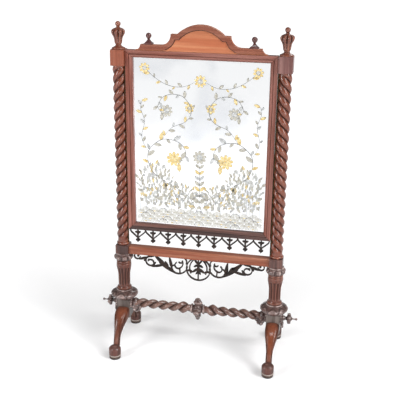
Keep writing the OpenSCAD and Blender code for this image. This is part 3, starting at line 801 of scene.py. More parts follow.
def turned(profile: Sequence[Point], around: int) -> Mesh:
    """Turns a profile round the Z axis into a closed shell.

    Args:
        profile: Radius and height of each point, from the bottom up.
        around: How many steps a turn has.

    Returns:
        The shell.
    """
    bm = bmesh.new()
    chain = [bm.verts.new((radius, 0.0, height)) for radius, height in profile]
    edges = [bm.edges.new(pair) for pair in zip(chain, chain[1:])]
    bmesh.ops.spin(
        bm, geom=chain + edges, cent=(0.0, 0.0, 0.0), axis=(0.0, 0.0, 1.0), dvec=(0.0, 0.0, 0.0),
        angle=FULL_TURN, steps=around, use_merge=True, use_normal_flip=False, use_duplicate=False,
    )
    bmesh.ops.remove_doubles(bm, verts=bm.verts, dist=1e-4)
    return outward(bm)


def tower(around: int, rows: int) -> Mesh:
    """Makes a round column of unit radius between the heights 0 and 1, cut into rows.

    Args:
        around: How many sides it has.
        rows: How many rows of faces it has.

    Returns:
        The column.
    """
    bm = bmesh.new()
    bmesh.ops.create_cone(bm, cap_ends=True, segments=around, radius1=1.0, radius2=1.0, depth=1.0)
    upright = [e for e in bm.edges if abs(e.verts[0].co.z - e.verts[1].co.z) > 0.5]
    bmesh.ops.subdivide_edges(bm, edges=upright, cuts=rows - 1, use_grid_fill=True)
    bmesh.ops.translate(bm, vec=(0.0, 0.0, 0.5), verts=bm.verts)
    return bm


def rounded(bm: Mesh, edges: Sequence[bmesh.types.BMEdge], offset: float, steps: int) -> Mesh:
    """Rounds edges of a mesh.

    Args:
        bm: The mesh.
        edges: The edges.
        offset: The width of the rounding.
        steps: How many faces it has.

    Returns:
        The same mesh.
    """
    bmesh.ops.bevel(
        bm, geom=edges, offset=offset, segments=steps, profile=0.5, affect="EDGES", clamp_overlap=True, material=-1
    )
    return bm


def eased_box(low: Sequence[float], high: Sequence[float], edge: float) -> Mesh:
    """Makes a box with rounded edges.

    Args:
        low: The lowest corner.
        high: The highest corner.
        edge: The radius of its edges.

    Returns:
        The box.
    """
    bm = bmesh.new()
    bmesh.ops.create_cube(bm, size=1.0)
    size = Vector(high) - Vector(low)
    middle = (Vector(high) + Vector(low)) / 2.0
    bmesh.ops.scale(bm, vec=size, verts=bm.verts)
    bmesh.ops.translate(bm, vec=middle, verts=bm.verts)
    return rounded(bm, list(bm.edges), edge, 3)


def pour(target: Mesh, *sources: Mesh) -> Mesh:
    """Adds shells to a mesh and frees them.

    Args:
        target: The mesh that takes the shells.
        *sources: The shells.

    Returns:
        The target.
    """
    for source in sources:
        carrier = bpy.data.meshes.new("carrier")
        source.to_mesh(carrier)
        source.free()
        target.from_mesh(carrier)
        bpy.data.meshes.remove(carrier)
    return target


def moved(bm: Mesh, matrix: Matrix) -> Mesh:
    """Moves a whole mesh.

    Args:
        bm: The mesh.
        matrix: Where it goes.

    Returns:
        The same mesh, with its faces outwards where the matrix mirrors it.
    """
    bmesh.ops.transform(bm, matrix=matrix, verts=bm.verts)
    if matrix.determinant() < 0.0:
        bmesh.ops.reverse_faces(bm, faces=bm.faces)
    return bm


def carved(bm: Mesh, cutter: Mesh) -> Mesh:
    """Cuts one shell out of another.

    Args:
        bm: The shell that is cut.
        cutter: The shell that is taken away.

    Returns:
        What is left.
    """
    holders = []
    for source in (bm, cutter):
        carrier = bpy.data.meshes.new("carving")
        source.to_mesh(carrier)
        source.free()
        holder = bpy.data.objects.new("carving", carrier)
        bpy.context.scene.collection.objects.link(holder)
        holders.append(holder)
    work, tool = holders
    cut = work.modifiers.new("cut", "BOOLEAN")
    cut.operation = "DIFFERENCE"
    cut.solver = "EXACT"
    cut.object = tool
    graph = bpy.context.evaluated_depsgraph_get()
    result = bmesh.new()
    result.from_mesh(work.evaluated_get(graph).to_mesh())
    for holder in holders:
        carrier = holder.data
        bpy.data.objects.remove(holder)
        bpy.data.meshes.remove(carrier)
    return result


def copied(node: str) -> Mesh:
    """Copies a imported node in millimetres, with its flat faces merged."""
    bm = bmesh.new()
    bm.from_mesh(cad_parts[node].data)
    bmesh.ops.scale(bm, vec=(1.0 / MM,) * 3, verts=bm.verts)
    bmesh.ops.remove_doubles(bm, verts=bm.verts, dist=2e-3)
    bmesh.ops.dissolve_limit(bm, angle_limit=math.radians(0.8), verts=bm.verts, edges=bm.edges)
    return bm


def softened(node: str, edge: float, steps: int, grow: float = 0.0) -> Mesh:
    """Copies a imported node, merged, with its sharp outer edges rounded.

    Args:
        node: The node's name.
        edge: The width of the rounding, in millimetres.
        steps: How many faces the rounding has.
        grow: How far its faces move outwards first, in millimetres.

    Returns:
        The copy, in millimetres.
    """
    bm = copied(node)
    if grow > 0.0:
        bm.normal_update()
        for vert, way in [(v, v.normal * min(v.calc_shell_factor(), 1.8)) for v in bm.verts]:
            vert.co += way * grow
    limit = math.radians(30.0)
    edges = [e for e in bm.edges if e.is_manifold and e.is_convex and e.calc_face_angle() > limit]
    return rounded(bm, edges, edge, steps)


def paint_relief(mesh: bpy.types.Mesh, reach: float, rounds: int) -> None:
    """Writes into two point attributes how dark and how light each point is painted: dark from concave curves and
    carving with painted shade, light from convex curves and proud marks with painted highlight.

    Args:
        mesh: The finished mesh, in metres.
        reach: The radius of a curve that counts in full, in metres.
        rounds: How often the values are evened out over the neighbours.
    """
    count = len(mesh.vertices)
    place = np.zeros(count * 3)
    mesh.vertices.foreach_get("co", place)
    place = place.reshape(-1, 3)
    normal = np.zeros(count * 3)
    mesh.vertices.foreach_get("normal", normal)
    normal = normal.reshape(-1, 3)
    pairs = np.zeros(len(mesh.edges) * 2, np.int64)
    mesh.edges.foreach_get("vertices", pairs)
    pairs = pairs.reshape(-1, 2)
    step = place[pairs[:, 1]] - place[pairs[:, 0]]
    length = np.maximum(np.linalg.norm(step, axis=1), 1e-6)
    bend = np.zeros(count)
    share = np.zeros(count)
    for near, sign in ((0, 1.0), (1, -1.0)):
        turn = sign * np.einsum("ij,ij->i", normal[pairs[:, near]], step) / length**2
        np.add.at(bend, pairs[:, near], turn)
        np.add.at(share, pairs[:, near], 1.0)
    share = np.maximum(share, 1.0)
    bend = np.clip(2.0 * reach * bend / share, -1.5, 1.5)
    depth = np.zeros(count)
    carve = mesh.attributes.get(CARVE_AND_SHADE)
    if carve is not None:
        carve.data.foreach_get("value", depth)
        mesh.attributes.remove(carve)
    for _ in range(rounds):
        total = bend.copy()
        np.add.at(total, pairs[:, 0], bend[pairs[:, 1]])
        np.add.at(total, pairs[:, 1], bend[pairs[:, 0]])
        bend = total / (share + 1.0)
    # Concave curves and deep carving give the dark mask, for dark wax together with painted shade; convex curves and
    # proud marks give the light mask, for rubbed polish together with painted highlight
    for name, value in (("hollow", np.maximum(bend, depth)), ("ridge", np.maximum(-bend, -depth))):
        layer = mesh.attributes.new(name, "FLOAT", "POINT")
        layer.data.foreach_set("value", np.clip(value, 0.0, 1.0).astype(np.float32))


@dataclass
class Assembly(ABC):
    """A sub-assembly: it makes its pieces, dresses them and hands them to their body."""

    body: ClassVar[Body] = Body.STAND
    relief_reach: ClassVar[float] = 0.006
    relief_rounds: ClassVar[int] = 2

    @abstractmethod
    def build(self) -> None:
        """Makes every piece of the sub-assembly."""

    def place(
        self, bm: Mesh, name: str, finish: Finish, grain: Grain, nodes: Sequence[str] = (), flat: bool = False
    ) -> bpy.types.Object:
        """Turns a mesh in millimetres into a finished piece.

        Args:
            bm: The mesh, where it belongs in the frame.
            name: The piece's name.
            finish: What it is finished in.
            grain: The direction of its grain.
            nodes: The nodes that it stands for.
            flat: Whether it is flat work, whose edges are rubbed.

        Returns:
            The piece.
        """
        bmesh.ops.scale(bm, vec=(MM,) * 3, verts=bm.verts)
        mesh = bpy.data.meshes.new(name)
        bm.to_mesh(mesh)
        bm.free()
        mesh.shade_smooth()
        mesh.set_sharp_from_angle(angle=math.radians(42.0))
        for polygon in mesh.polygons:
            polygon.use_smooth = polygon.area < FLAT_AREA
        paint_relief(mesh, self.relief_reach, self.relief_rounds)
        corners = [Vector(map(edge, zip(*(v.co for v in mesh.vertices)))) for edge in (min, max)]
        mesh.materials.append(finish.material(grain, tuple(corners) if flat else None))
        piece = bpy.data.objects.new(name, mesh)
        bpy.context.scene.collection.objects.link(piece)
        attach(piece, self.body.value)
        if nodes:
            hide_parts(*nodes)
        log.info("%-24s %6d faces, %s, rides on %s", name, len(mesh.polygons), finish.label, self.body.value)
        return piece

    def dress(self, node: str, finish: Finish, grain: Grain) -> None:
        """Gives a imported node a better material.

        Args:
            node: The node's name.
            finish: What it is finished in.
            grain: The direction of its grain.
        """
        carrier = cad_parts[node]
        for material_slot in carrier.material_slots:
            material_slot.material = finish.material(grain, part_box(node))
        log.info("%-24s dressed in %s", node, finish.label)

    def soften(
        self, node: str, finish: Finish, grain: Grain, edge: float, steps: int = 2, grow: float = 0.0
    ) -> bpy.types.Object:
        """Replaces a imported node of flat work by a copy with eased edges.

        Args:
            node: The node's name.
            finish: What it is finished in.
            grain: The direction of its grain.
            edge: The width of the rounding, in millimetres.
            steps: How many faces the rounding has.
            grow: How far its faces move outwards, in millimetres.

        Returns:
            The new piece.
        """
        return self.place(softened(node, edge, steps, grow), f"{node}_eased", finish, grain, (node,), True)


@dataclass
class Rope:
    """A rope twist along +Z that runs out into plain round ends."""

    length: float
    strands: int
    pitch: float
    radius: float
    strand_radius: float
    phase: float
    hand: int
    fades: tuple[float, float]
    end_radius: float
    fill: float = 0.0
    swell: float = 0.0
    swell_at: float = 27.0
    swell_reach: float = 34.0
    points: int = 18
    steps: int = 260

    def strand_reach(self, angle: float) -> float:
        """Distance from the centre line to a strand's surface, at an angle from its middle."""
        offset = self.radius - self.strand_radius
        round_reach = offset * math.cos(angle) + math.sqrt(self.strand_radius**2 - (offset * math.sin(angle)) ** 2)
        share = abs(angle) * self.strands / math.pi
        return round_reach + self.fill * (self.radius - round_reach) * (1.0 - share**6)

    def girth(self, height: float) -> float:
        """How much thicker the twist is at a height."""
        return 1.0 + self.swell * ease(1.0 - abs(height - self.swell_at) / self.swell_reach)

    def section(self, bm: Mesh) -> None:
        """Draws the ring of strands that the twist starts from.

        Args:
            bm: An empty mesh.
        """
        bmesh.ops.create_circle(bm, cap_ends=False, radius=1.0, segments=self.strands * self.points)
        slice_angle = FULL_TURN / self.strands
        for vert in bm.verts:
            angle = math.atan2(vert.co.y, vert.co.x) % FULL_TURN
            vert.co *= self.strand_reach(angle % slice_angle - slice_angle / 2.0)
        start = math.radians(self.phase) - slice_angle / 2.0
        bmesh.ops.rotate(bm, cent=(0.0, 0.0, 0.0), matrix=Matrix.Rotation(start, 3, "Z"), verts=bm.verts)

    def mesh(self) -> Mesh:
        """Spins the ring of strands up the twist and closes its ends.

        Returns:
            The twist, from the height 0 to its length.
        """
        bm = bmesh.new()
        self.section(bm)
        bmesh.ops.spin(
            bm, geom=list(bm.verts) + list(bm.edges), cent=(0.0, 0.0, 0.0), axis=(0.0, 0.0, 1.0),
            dvec=(0.0, 0.0, self.length / self.steps), angle=self.hand * FULL_TURN * self.length / self.pitch,
            steps=self.steps, use_merge=False, use_normal_flip=False, use_duplicate=False,
        )
        layer = carve_and_shade_layer(bm)
        valley = self.strand_reach(math.pi / self.strands)
        for vert in bm.verts:
            height = vert.co.z
            full = ease(height / self.fades[0]) * ease((self.length - height) / self.fades[1])
            across = math.hypot(vert.co.x, vert.co.y)
            deep = min(max((self.radius - across) / (self.radius - valley), 0.0), 1.0)
            # Dark wax with painted shade in the grooves and faintly rubbed polish with painted highlight on the
            # crests, both fading out at the plain ends
            vert[layer] = full * (1.5 * deep**1.7 - 0.16)
            wanted = (full * across + (1.0 - full) * self.end_radius) * self.girth(height)
            vert.co.x *= wanted / across
            vert.co.y *= wanted / across
        bmesh.ops.holes_fill(bm, edges=[e for e in bm.edges if e.is_boundary], sides=0)
        bmesh.ops.recalc_face_normals(bm, faces=bm.faces)
        return bm


def bead_profile(radius: float, low: float, high: float, bulge: float, steps: int = 8) -> list[Point]:
    """Draws a half-round bead.

    Args:
        radius: The radius at its widest.
        low: The height of its underside.
        high: The height of its top.
        bulge: How far it stands out.
        steps: How many steps the curve has.

    Returns:
        The points of the bead, from the bottom up.
    """
    points = []
    for index in range(steps + 1):
        angle = math.pi * index / steps
        points.append(
            (radius - bulge + bulge * math.sin(angle), (low + high) / 2.0 - (high - low) / 2.0 * math.cos(angle))
        )
    return points


def flowing(points: Sequence[Point], steps: int = 6) -> list[Point]:
    """Draws a smooth line through a turner's few measured points.

    Args:
        points: The points that the line goes through.
        steps: How many steps lie between two points.

    Returns:
        The points of the smooth line.
    """
    held = [Vector(points[0]), *(Vector(p) for p in points), Vector(points[-1])]
    line = []
    for before, start, stop, after in zip(held, held[1:], held[2:], held[3:]):
        for index in range(steps):
            t = index / steps
            spot = (
                2.0 * start
                + (stop - before) * t
                + (2.0 * before - 5.0 * start + 4.0 * stop - after) * t**2
                + (3.0 * start - before - 3.0 * stop + after) * t**3
            ) / 2.0
            line.append((max(spot.x, 0.0), spot.y))
    line.append(tuple(points[-1]))
    return line


def reshape(bm: Mesh, radius_at: Callable[[float, float], float], lift: float = 0.2) -> Mesh:
    """Moves each point of a turned shell in or out, and marks cut-in points dark, as dark wax with painted shade, and
    points that stay out light, as rubbed polish with painted highlight.

    Args:
        bm: The shell.
        radius_at: Gives the factor on the radius, from the angle and the height.
        lift: How much the points that stay out are rubbed and lightened as a painted highlight, from 0 to 1.

    Returns:
        The same shell.
    """
    layer = carve_and_shade_layer(bm)
    for vert in bm.verts:
        if math.hypot(vert.co.x, vert.co.y) > 1e-6:
            factor = radius_at(math.atan2(vert.co.y, vert.co.x), vert.co.z)
            # Cut-in points are darkened as dark wax with painted shade; points that stay out are lightened as rubbed
            # polish with painted highlight
            vert[layer] = min((1.0 - factor) * GRIME_AND_SHADE_DEPTH, 1.0) - lift * factor**40
            vert.co.x *= factor
            vert.co.y *= factor
    return bm


def lobes(angle: float, count: int, turn: float = 0.0) -> float:
    """Height of a ring of rounded lobes: 1 in the middle of a lobe and 0 between two."""
    return abs(math.cos(count * (angle - turn) / 2.0))


def bud(length: float, width: float, thick: float, waist: float = 0.72, veins: int = 5) -> Mesh:
    """Makes a carved leaf bud that points up from the origin.

    Args:
        length: Its length.
        width: Its half width, along X.
        thick: Its half thickness, along Y.
        waist: How wide its rolled tip is against its belly.
        veins: How many ridges run up it.

    Returns:
        The bud.
    """
    profile = flowing(
        [(0.0, 0.0), (0.62, 0.02), (0.88, 0.20), (1.0, 0.42), (0.70, 0.68), (waist, 0.84), (0.42, 0.97), (0.0, 1.0)],
        4,
    )
    bm = turned(profile, 28)
    for vert in bm.verts:
        angle = math.atan2(vert.co.y, vert.co.x)
        share = vert.co.z
        carve = 1.0 - 0.13 * window(share, 0.12, 0.9, 0.2) * (1.0 - lobes(angle, 2 * veins) ** 0.7)
        vert.co.x *= width * carve
        vert.co.y *= thick * carve
        vert.co.z *= length
    return bm


def at_post(side: Side, spacing: float) -> Matrix:
    """The place of a piece that is made for the right post at the origin.

    Args:
        side: The post.
        spacing: The distance between the posts.

    Returns:
        The matrix, which mirrors for the left post.
    """
    return Matrix.Diagonal((float(side.value), 1.0, 1.0, 1.0)) @ Matrix.Translation((spacing / 2.0, 0.0, 0.0))


def along(axis: Vector, origin: Sequence[float]) -> Matrix:
    """Turns what points up so that it points along an axis from an origin.

    Args:
        axis: The direction.
        origin: Where it starts.

    Returns:
        The matrix.
    """
    turn = Vector((0.0, 0.0, 1.0)).rotation_difference(axis).to_matrix().to_4x4()
    return Matrix.Translation(origin) @ turn


@dataclass
class TwistPost(Assembly):
    """A post in one piece: lower block, bead, rope twist and top block, with the panel's groove."""

    spacing: float = 520.0
    block_width: float = 44.0
    block_foot: float = 338.0
    block_top: float = 369.0
    twist_foot: float = 379.0
    twist_top: float = 973.0
    top: float = 1023.0
    bead_radius: float = 22.0
    groove_half: float = 2.5
    groove_floor: float = -15.0
    groove_foot: float = 433.7
    strip_in: float = -22.5
    strip_out: float = -17.0
    edge: float = 1.5

    def block(self, low: float, high: float) -> Mesh:
        """Makes one of the square blocks."""
        half = self.block_width / 2.0
        return eased_box((-half, -half, low), (half, half, high), self.edge)

    def groove(self) -> Mesh:
        """Makes the cutter of the groove that the panel's tongue runs in."""
        reach = self.block_width
        return eased_box(
            (-reach, -self.groove_half, self.groove_foot), (self.groove_floor, self.groove_half, self.top + reach),
            0.02,
        )

    def twist(self) -> Mesh:
        """Makes the rope twist of the right post."""
        rope = Rope(
            length=self.twist_top - self.twist_foot, strands=3, pitch=92.5, radius=20.7, strand_radius=12.4,
            phase=83.3, hand=-1, fades=(26.0, 14.0), end_radius=18.7, fill=0.05,
        )
        return moved(rope.mesh(), Matrix.Translation((0.0, 0.0, self.twist_foot)))

    def strip(self) -> Mesh:
        """Makes the thin near-black strip on the post that closes the gap in front of the groove, as painted shade in
        that gap.
        """
        low = (self.strip_in, -6.0, self.block_top + 3.0)
        return eased_box(low, (self.strip_out, -4.5, self.twist_top + 2.0), 0.3)

    def bead(self) -> Mesh:
        """Makes the bead under the twist."""
        return turned(
            [
                (0.0, self.block_top), (self.bead_radius - 4.6, self.block_top),
                *bead_profile(self.bead_radius, self.block_top + 0.6, self.twist_foot - 0.6, 4.0),
                (self.bead_radius - 4.6, self.twist_foot), (0.0, self.twist_foot),
            ],
            56,
        )

    def build(self) -> None:
        """Makes both posts, whose blocks and twist are pieces of their own here."""
        for side in Side:
            name = f"{side.word}_post"
            seat = at_post(side, self.spacing)
            twist = pour(bmesh.new(), self.bead(), carved(self.twist(), self.groove()))
            self.place(moved(twist, seat), f"{name}_twist", MAHOGANY, Grain.UPRIGHT, (name,))
            low = moved(self.block(self.block_foot, self.block_top), seat)
            self.place(low, f"{name}_low_block", LOW_MAHOGANY, Grain.UPRIGHT, (), True)
            high = moved(carved(self.block(self.twist_top, self.top), self.groove()), seat)
            # A near-black strip in the gap beside the stile, as painted shade
            self.place(moved(self.strip(), seat), f"{side.word}_guide_strip", SHADE_DARK_BRASS, Grain.UPRIGHT)
            finish = RED_MAHOGANY if side is Side.LEFT else PINK_MAHOGANY
            self.place(high, f"{name}_top_block", finish, Grain.UPRIGHT, (), True)


@dataclass
class Finial(Assembly):
    """Turned and carved finial on a post: flange, reeded vase, crown of lobes and ball."""

    spacing: float = 520.0
    foot: float = 1023.0
    flange: float = 21.5
    neck: float = 7.4
    crown: float = 22.7
    ball: float = 8.6
    lobe_count: int = 8
    left_turn: float = -17.5

    def profile(self) -> list[Point]:
        """Draws the finial's profile.

        Returns:
            The points, from the flange up.
        """
        vase = flowing(
            [
                (9.2, 16.2), (11.6, 18.4), (12.6, 23.0), (13.8, 31.0), (16.2, 38.5), (20.4, 45.2),
                (self.crown - 0.5, 50.0), (self.crown, 53.4), (self.crown - 1.2, 57.0), (self.crown - 4.6, 60.2),
                (self.crown - 10.0, 62.8), (5.8, 65.4),
            ],
            4,
        )
        ball = [
            (self.ball * math.cos(a), 76.0 + self.ball * math.sin(a))
            for a in (math.radians(d) for d in range(-58, 90, 8))
        ]
        return [
            (0.0, 0.0), (self.flange - 2.2, 0.0), *bead_profile(self.flange, 0.2, 4.6, 2.0),
            *flowing([(self.flange - 2.6, 4.9), (self.flange - 7.5, 7.4), (10.4, 9.0)], 4),
            *bead_profile(10.2, 9.2, 11.6, 1.2, 5), (self.neck, 12.0), (self.neck, 13.2),
            *bead_profile(9.8, 13.4, 15.8, 1.2, 5), *vase, *bead_profile(6.4, 65.8, 68.2, 1.4, 5), *ball,
            (0.0, 76.0 + self.ball),
        ]

    def carve(self, angle: float, height: float) -> float:
        """Gives the factor that cuts the lobes and reeds into the finial.

        Args:
            angle: The angle round the finial.
            height: The height above its foot.

        Returns:
            The factor on the radius.
        """
        lobe = lobes(angle, self.lobe_count, math.pi / self.lobe_count)
        reed = 0.16 * window(height, 19.0, 40.0, 6.0) * (1.0 - lobe**0.8)
        crown = 0.27 * window(height, 36.0, 63.0, 8.0) * (1.0 - lobe**0.75)
        return 1.0 - max(reed, crown)

    def build(self) -> None:
        """Makes both finials."""
        for side in Side:
            bm = reshape(turned(self.profile(), 96), self.carve)
            turn = math.radians(self.left_turn) if side is Side.LEFT else 0.0
            moved(bm, Matrix.Translation((0.0, 0.0, self.foot)) @ Matrix.Rotation(turn, 4, "Z"))
            moved(bm, at_post(side, self.spacing))
            name = f"{side.word}_finial"
            self.place(bm, f"{name}_carved", MAHOGANY, Grain.UPRIGHT, (name,))


@dataclass
class LowerTurning(Assembly):
    """The three turnings between the base block and the lower block: bulb, baluster and collar."""

    spacing: float = 520.0
    bulb_foot: float = 166.0
    baluster_foot: float = 203.0
    collar_foot: float = 310.0
    top: float = 338.0
    bulb: float = 46.5
    petals: int = 8
    shaft: float = 20.0
    bell: float = 25.5
    flutes: int = 12
    collar: float = 33.5
    leaves: int = 8

    def bulb_mesh(self) -> Mesh:
        """Makes the flat bulb: petals with raised lines between them, and a ring on top.

        Returns:
            The bulb, from the height 0.
        """
        r = self.bulb
        height = self.baluster_foot - self.bulb_foot
        profile = [
            (0.0, 0.0), (r - 22.0, 0.0),
            *flowing(
                [
                    (r - 20.5, 0.6), (r - 13.0, 4.0), (r - 5.0, 9.5),
                    (r - 0.9, 14.8), (r, 19.0), (r - 1.6, 22.6), (r - 7.5, 27.0), (r - 15.0, 30.4), (r - 20.0, 31.6),
                ],
                5,
            ),
            *bead_profile(r - 18.5, 31.9, height - 0.2, 2.4, 6), (r - 22.0, height), (0.0, height),
        ]
        bm = turned(profile, 128)

        def arch(angle: float) -> float:
            """Height of a petal's arched edge at an angle."""
            return 11.0 + 16.0 * lobes(angle, self.petals) ** 0.6

        def petal(angle: float, level: float) -> float:
            """Gives the factor that sinks what lies above and between the petals."""
            above = 0.045 * ease((level - arch(angle)) / 3.0) * window(level, 6.0, 30.5, 4.0)
            between = 0.05 * (1.0 - lobes(angle, self.petals) ** 0.5) * window(level, 1.0, 14.0, 6.0)
            return 1.0 - max(above, between)

        reshape(bm, petal, 0.0)
        layer = carve_and_shade_layer(bm)
        # The raised arch lines are lightened as rubbed polish with painted highlight; the sunk band just above each
        # arch is darkened as dark wax with painted shade
        for vert in bm.verts:
            over = vert.co.z - arch(math.atan2(vert.co.y, vert.co.x))
            if 7.0 < vert.co.z < 31.0:
                proud = 1.0 - ease(abs(over + 1.0) / 1.8)
                vert[layer] = 0.6 * window(over, 1.0, 5.0, 1.5) * (1.0 - proud) - proud
        return bm

    def baluster_mesh(self) -> Mesh:
        """Makes the fluted baluster with its bell-shaped top and a bead at each end.

        Returns:
            The baluster, from the height 0.
        """
        r = self.shaft
        bell = self.bell
        height = self.collar_foot - self.baluster_foot
        profile = [
            (0.0, 0.0), (r + 1.0, 0.0), *bead_profile(r + 5.0, 0.2, 8.6, 3.6),
            *flowing(
                [
                    (r + 1.6, 9.0), (r + 0.2, 12.0), (r, 18.0), (r, 44.0),
                    (r + 0.9, 60.0), (r + 3.4, 74.0), (bell - 0.4, 83.0), (bell, 90.0),
                    (bell - 0.8, 96.0), (bell - 2.4, 97.8),
                ],
                5,
            ),
            *bead_profile(bell - 0.5, 98.2, height - 0.2, 3.4), (r + 1.0, height), (0.0, height),
        ]
        bm = turned(profile, 144)

        def flute(angle: float, level: float) -> float:
            """Gives the factor that cuts the flutes."""
            between = lobes(angle, self.flutes)
            depth = 0.115 * window(level, 18.0, 82.0, 7.0)
            return 1.0 - depth * max(0.0, 1.0 - ((1.0 - between) / 0.62) ** 2)

        return reshape(bm, flute)

    def collar_mesh(self) -> Mesh:
        """Makes the collar of leaves with a ring above and below them.

        Returns:
            The collar, from the height 0.
        """
        r = self.collar
        height = self.top - self.collar_foot
        profile = [
            (0.0, 0.0), (r - 11.0, 0.0),
            *flowing(
                [
                    (r - 9.6, 0.4), (r - 6.2, 3.0), (r - 1.6, 7.4), (r, 12.4), (r - 1.6, 17.2), (r - 6.4, 20.8),
                    (r - 9.0, 21.8),
                ],
                5,
            ),
            *bead_profile(r - 6.8, 22.2, height - 0.3, 2.8, 6), (r - 11.0, height), (0.0, height),
        ]
        bm = turned(profile, 128)

        def leaf(angle: float, level: float) -> float:
            """Gives the factor that parts the leaves."""
            lobe = lobes(angle, self.leaves, math.pi / self.leaves)
            vein = max(0.0, (lobe - 0.93) / 0.07) * 0.02
            return 1.0 - window(level, 3.0, 20.0, 6.0) * (0.17 * (1.0 - lobe**0.65) + vein)

        return reshape(bm, leaf)

    def build(self) -> None:
        """Makes the turnings of both posts."""
        parts = (
            ("bulb", self.bulb_mesh, self.bulb_foot, DARK_MAHOGANY),
            ("baluster", self.baluster_mesh, self.baluster_foot, BALUSTER_MAHOGANY),
            ("collar", self.collar_mesh, self.collar_foot, DARK_MAHOGANY),
        )
        for side in Side:
            for word, make, foot, finish in parts:
                bm = moved(make(), Matrix.Translation((0.0, 0.0, foot)))
                moved(bm, at_post(side, self.spacing))
                name = f"{side.word}_{word}"
                self.place(bm, f"{name}_carved", finish, Grain.UPRIGHT, (name,))


@dataclass
class Trestle(Assembly):
    """A trestle under each post: the base block and two cabriole legs with turned feet and pads."""

    relief_reach: ClassVar[float] = 0.010

    spacing: float = 520.0
    block_width: float = 46.0
    block_foot: float = 98.0
    block_top: float = 166.0
    foot_out: float = 127.0
    foot_radius: float = 20.15
    foot_low: float = 7.0
    foot_high: float = 46.0
    pad_radius: float = 18.9
    knee: float = 46.0
    knee_top: float = 140.0
    ankle: float = 21.0
    ankle_depth: float = 22.0

    def leg_mesh(self) -> Mesh:
        """Makes one cabriole leg for the front of the right post.

        Returns:
            The leg with its foot.
        """
        half = self.block_width / 2.0
        upper = (
            (-half, self.knee_top), (-half - 40.0, self.knee_top + 6.0),
            (-self.foot_out + 32.0, self.block_foot + 2.0), (-self.foot_out + 10.0, self.foot_high - 12.0),
        )
        under = (
            (-half, self.block_foot + 1.0), (-half - 30.0, self.block_foot),
            (-self.foot_out + 34.0, self.foot_high + 28.0),
            (-self.foot_out + 10.0 + self.ankle_depth, self.foot_high - 12.0),
        )
        bm = tower(40, 44)
        layer = carve_and_shade_layer(bm)
        for vert in bm.verts:
            share = min(max(vert.co.z, 0.0), 1.0)
            angle = math.atan2(vert.co.y, vert.co.x)
            across = math.copysign(abs(math.cos(angle)) ** 0.62, math.cos(angle))
            through = math.copysign(abs(math.sin(angle)) ** 0.62, math.sin(angle))
            outer = bezier(upper, share)
            inner = bezier(under, share)
            width = self.knee + (self.ankle - self.knee) * ease((share - 0.15) / 0.7)
            middle = (outer + inner) / 2.0 + through * (outer - inner) / 2.0
            # Painted shade on the sides of the leg and at its top against the block; lower down, the middle of the
            # leg is lightened where it is rubbed
            painted_shade = 0.7 * ease((abs(across) - 0.55) / 0.4) + 0.4 * ease((0.22 - share) / 0.14)
            vert[layer] = min(painted_shade, 1.0) - 0.8 * (1.0 - painted_shade) * ease((share - 0.6) / 0.3)
            vert.co = (across * width / 2.0, middle.x, middle.y)
        bmesh.ops.recalc_face_normals(bm, faces=bm.faces)
        return bm

    def foot_mesh(self) -> Mesh:
        """Makes the turned foot with its domed top."""
        r = self.foot_radius
        z = self.foot_low
        profile = [
            (0.0, z), (r - 2.0, z),
            *flowing(
                [
                    (r - 1.0, z + 0.2), (r - 0.6, z + 1.4), (r - 1.6, z + 2.8), (r - 1.6, z + 7.6),
                    (r - 0.4, z + 9.0), (r, z + 11.0), (r, z + 27.0), (r - 1.4, z + 31.5),
                    (r - 5.4, z + 35.6), (r - 11.0, self.foot_high),
                ],
                5,
            ),
            (0.0, self.foot_high),
        ]
        bm = turned(profile, 56)
        layer = carve_and_shade_layer(bm)
        for vert in bm.verts:
            # Painted shade on the sides of the foot along X; the foot is also darker towards its bottom and towards
            # its domed top, and lightened a little all over
            low = 1.0 - ease((vert.co.z - self.foot_low - 2.0) / 8.0)
            high = 0.8 * ease((vert.co.z - self.foot_high + 14.0) / 12.0)
            flank = 0.75 * ease((abs(vert.co.x) / self.foot_radius - 0.55) / 0.4)
            vert[layer] = max(low, high, flank) - 0.15
        return moved(bm, Matrix.Translation((0.0, -self.foot_out, 0.0)))

    def ring_mesh(self) -> Mesh:
        """Makes the pale ring that is let into the foot above its pad."""
        r = self.foot_radius - 0.1
        z = self.foot_low
        profile = [
            (r - 4.0, z + 3.0), (r - 0.6, z + 3.2), (r, z + 4.2),
            (r, z + 6.4), (r - 0.6, z + 7.4), (r - 4.0, z + 7.6), (r - 4.0, z + 3.0),
        ]
        return moved(turned(profile, 56), Matrix.Translation((0.0, -self.foot_out, 0.0)))

    def pad_mesh(self) -> Mesh:
        """Makes the pad under a foot."""
        r = self.pad_radius
        z = self.foot_low
        profile = [(0.0, 0.0), (r - 1.4, 0.0), (r - 0.4, 0.5), (r, 1.6), (r, z - 0.8), (r - 0.6, z), (0.0, z)]
        return moved(turned(profile, 48), Matrix.Translation((0.0, -self.foot_out, 0.0)))

    def build(self) -> None:
        """Makes both trestles."""
        half = self.block_width / 2.0
        for side in Side:
            for end in End:
                corner = at_post(side, self.spacing) @ Matrix.Diagonal((1.0, -float(end.value), 1.0, 1.0))
                stem = f"{side.word}_{end.word}"
                for make, name, finish, nodes in (
                    (self.leg_mesh, "leg_cabriole", LEG_MAHOGANY, (f"{stem}_leg",)),
                    (self.foot_mesh, "foot", FOOT_MAHOGANY, ()), (self.ring_mesh, "foot_ring", FOOT_RING, ()),
                    (self.pad_mesh, "pad_turned", FOOT_PAD, (f"{stem}_pad",)),
                ):
                    self.place(moved(make(), corner), f"{stem}_{name}", finish, Grain.UPRIGHT, nodes)
            name = f"{side.word}_base_block"
            block = eased_box((-half, -half, self.block_foot), (half, half, self.block_top), 1.6)
            moved(block, at_post(side, self.spacing))
            self.place(block, f"{name}_eased", BLOCK_MAHOGANY, Grain.UPRIGHT, (name,), True)


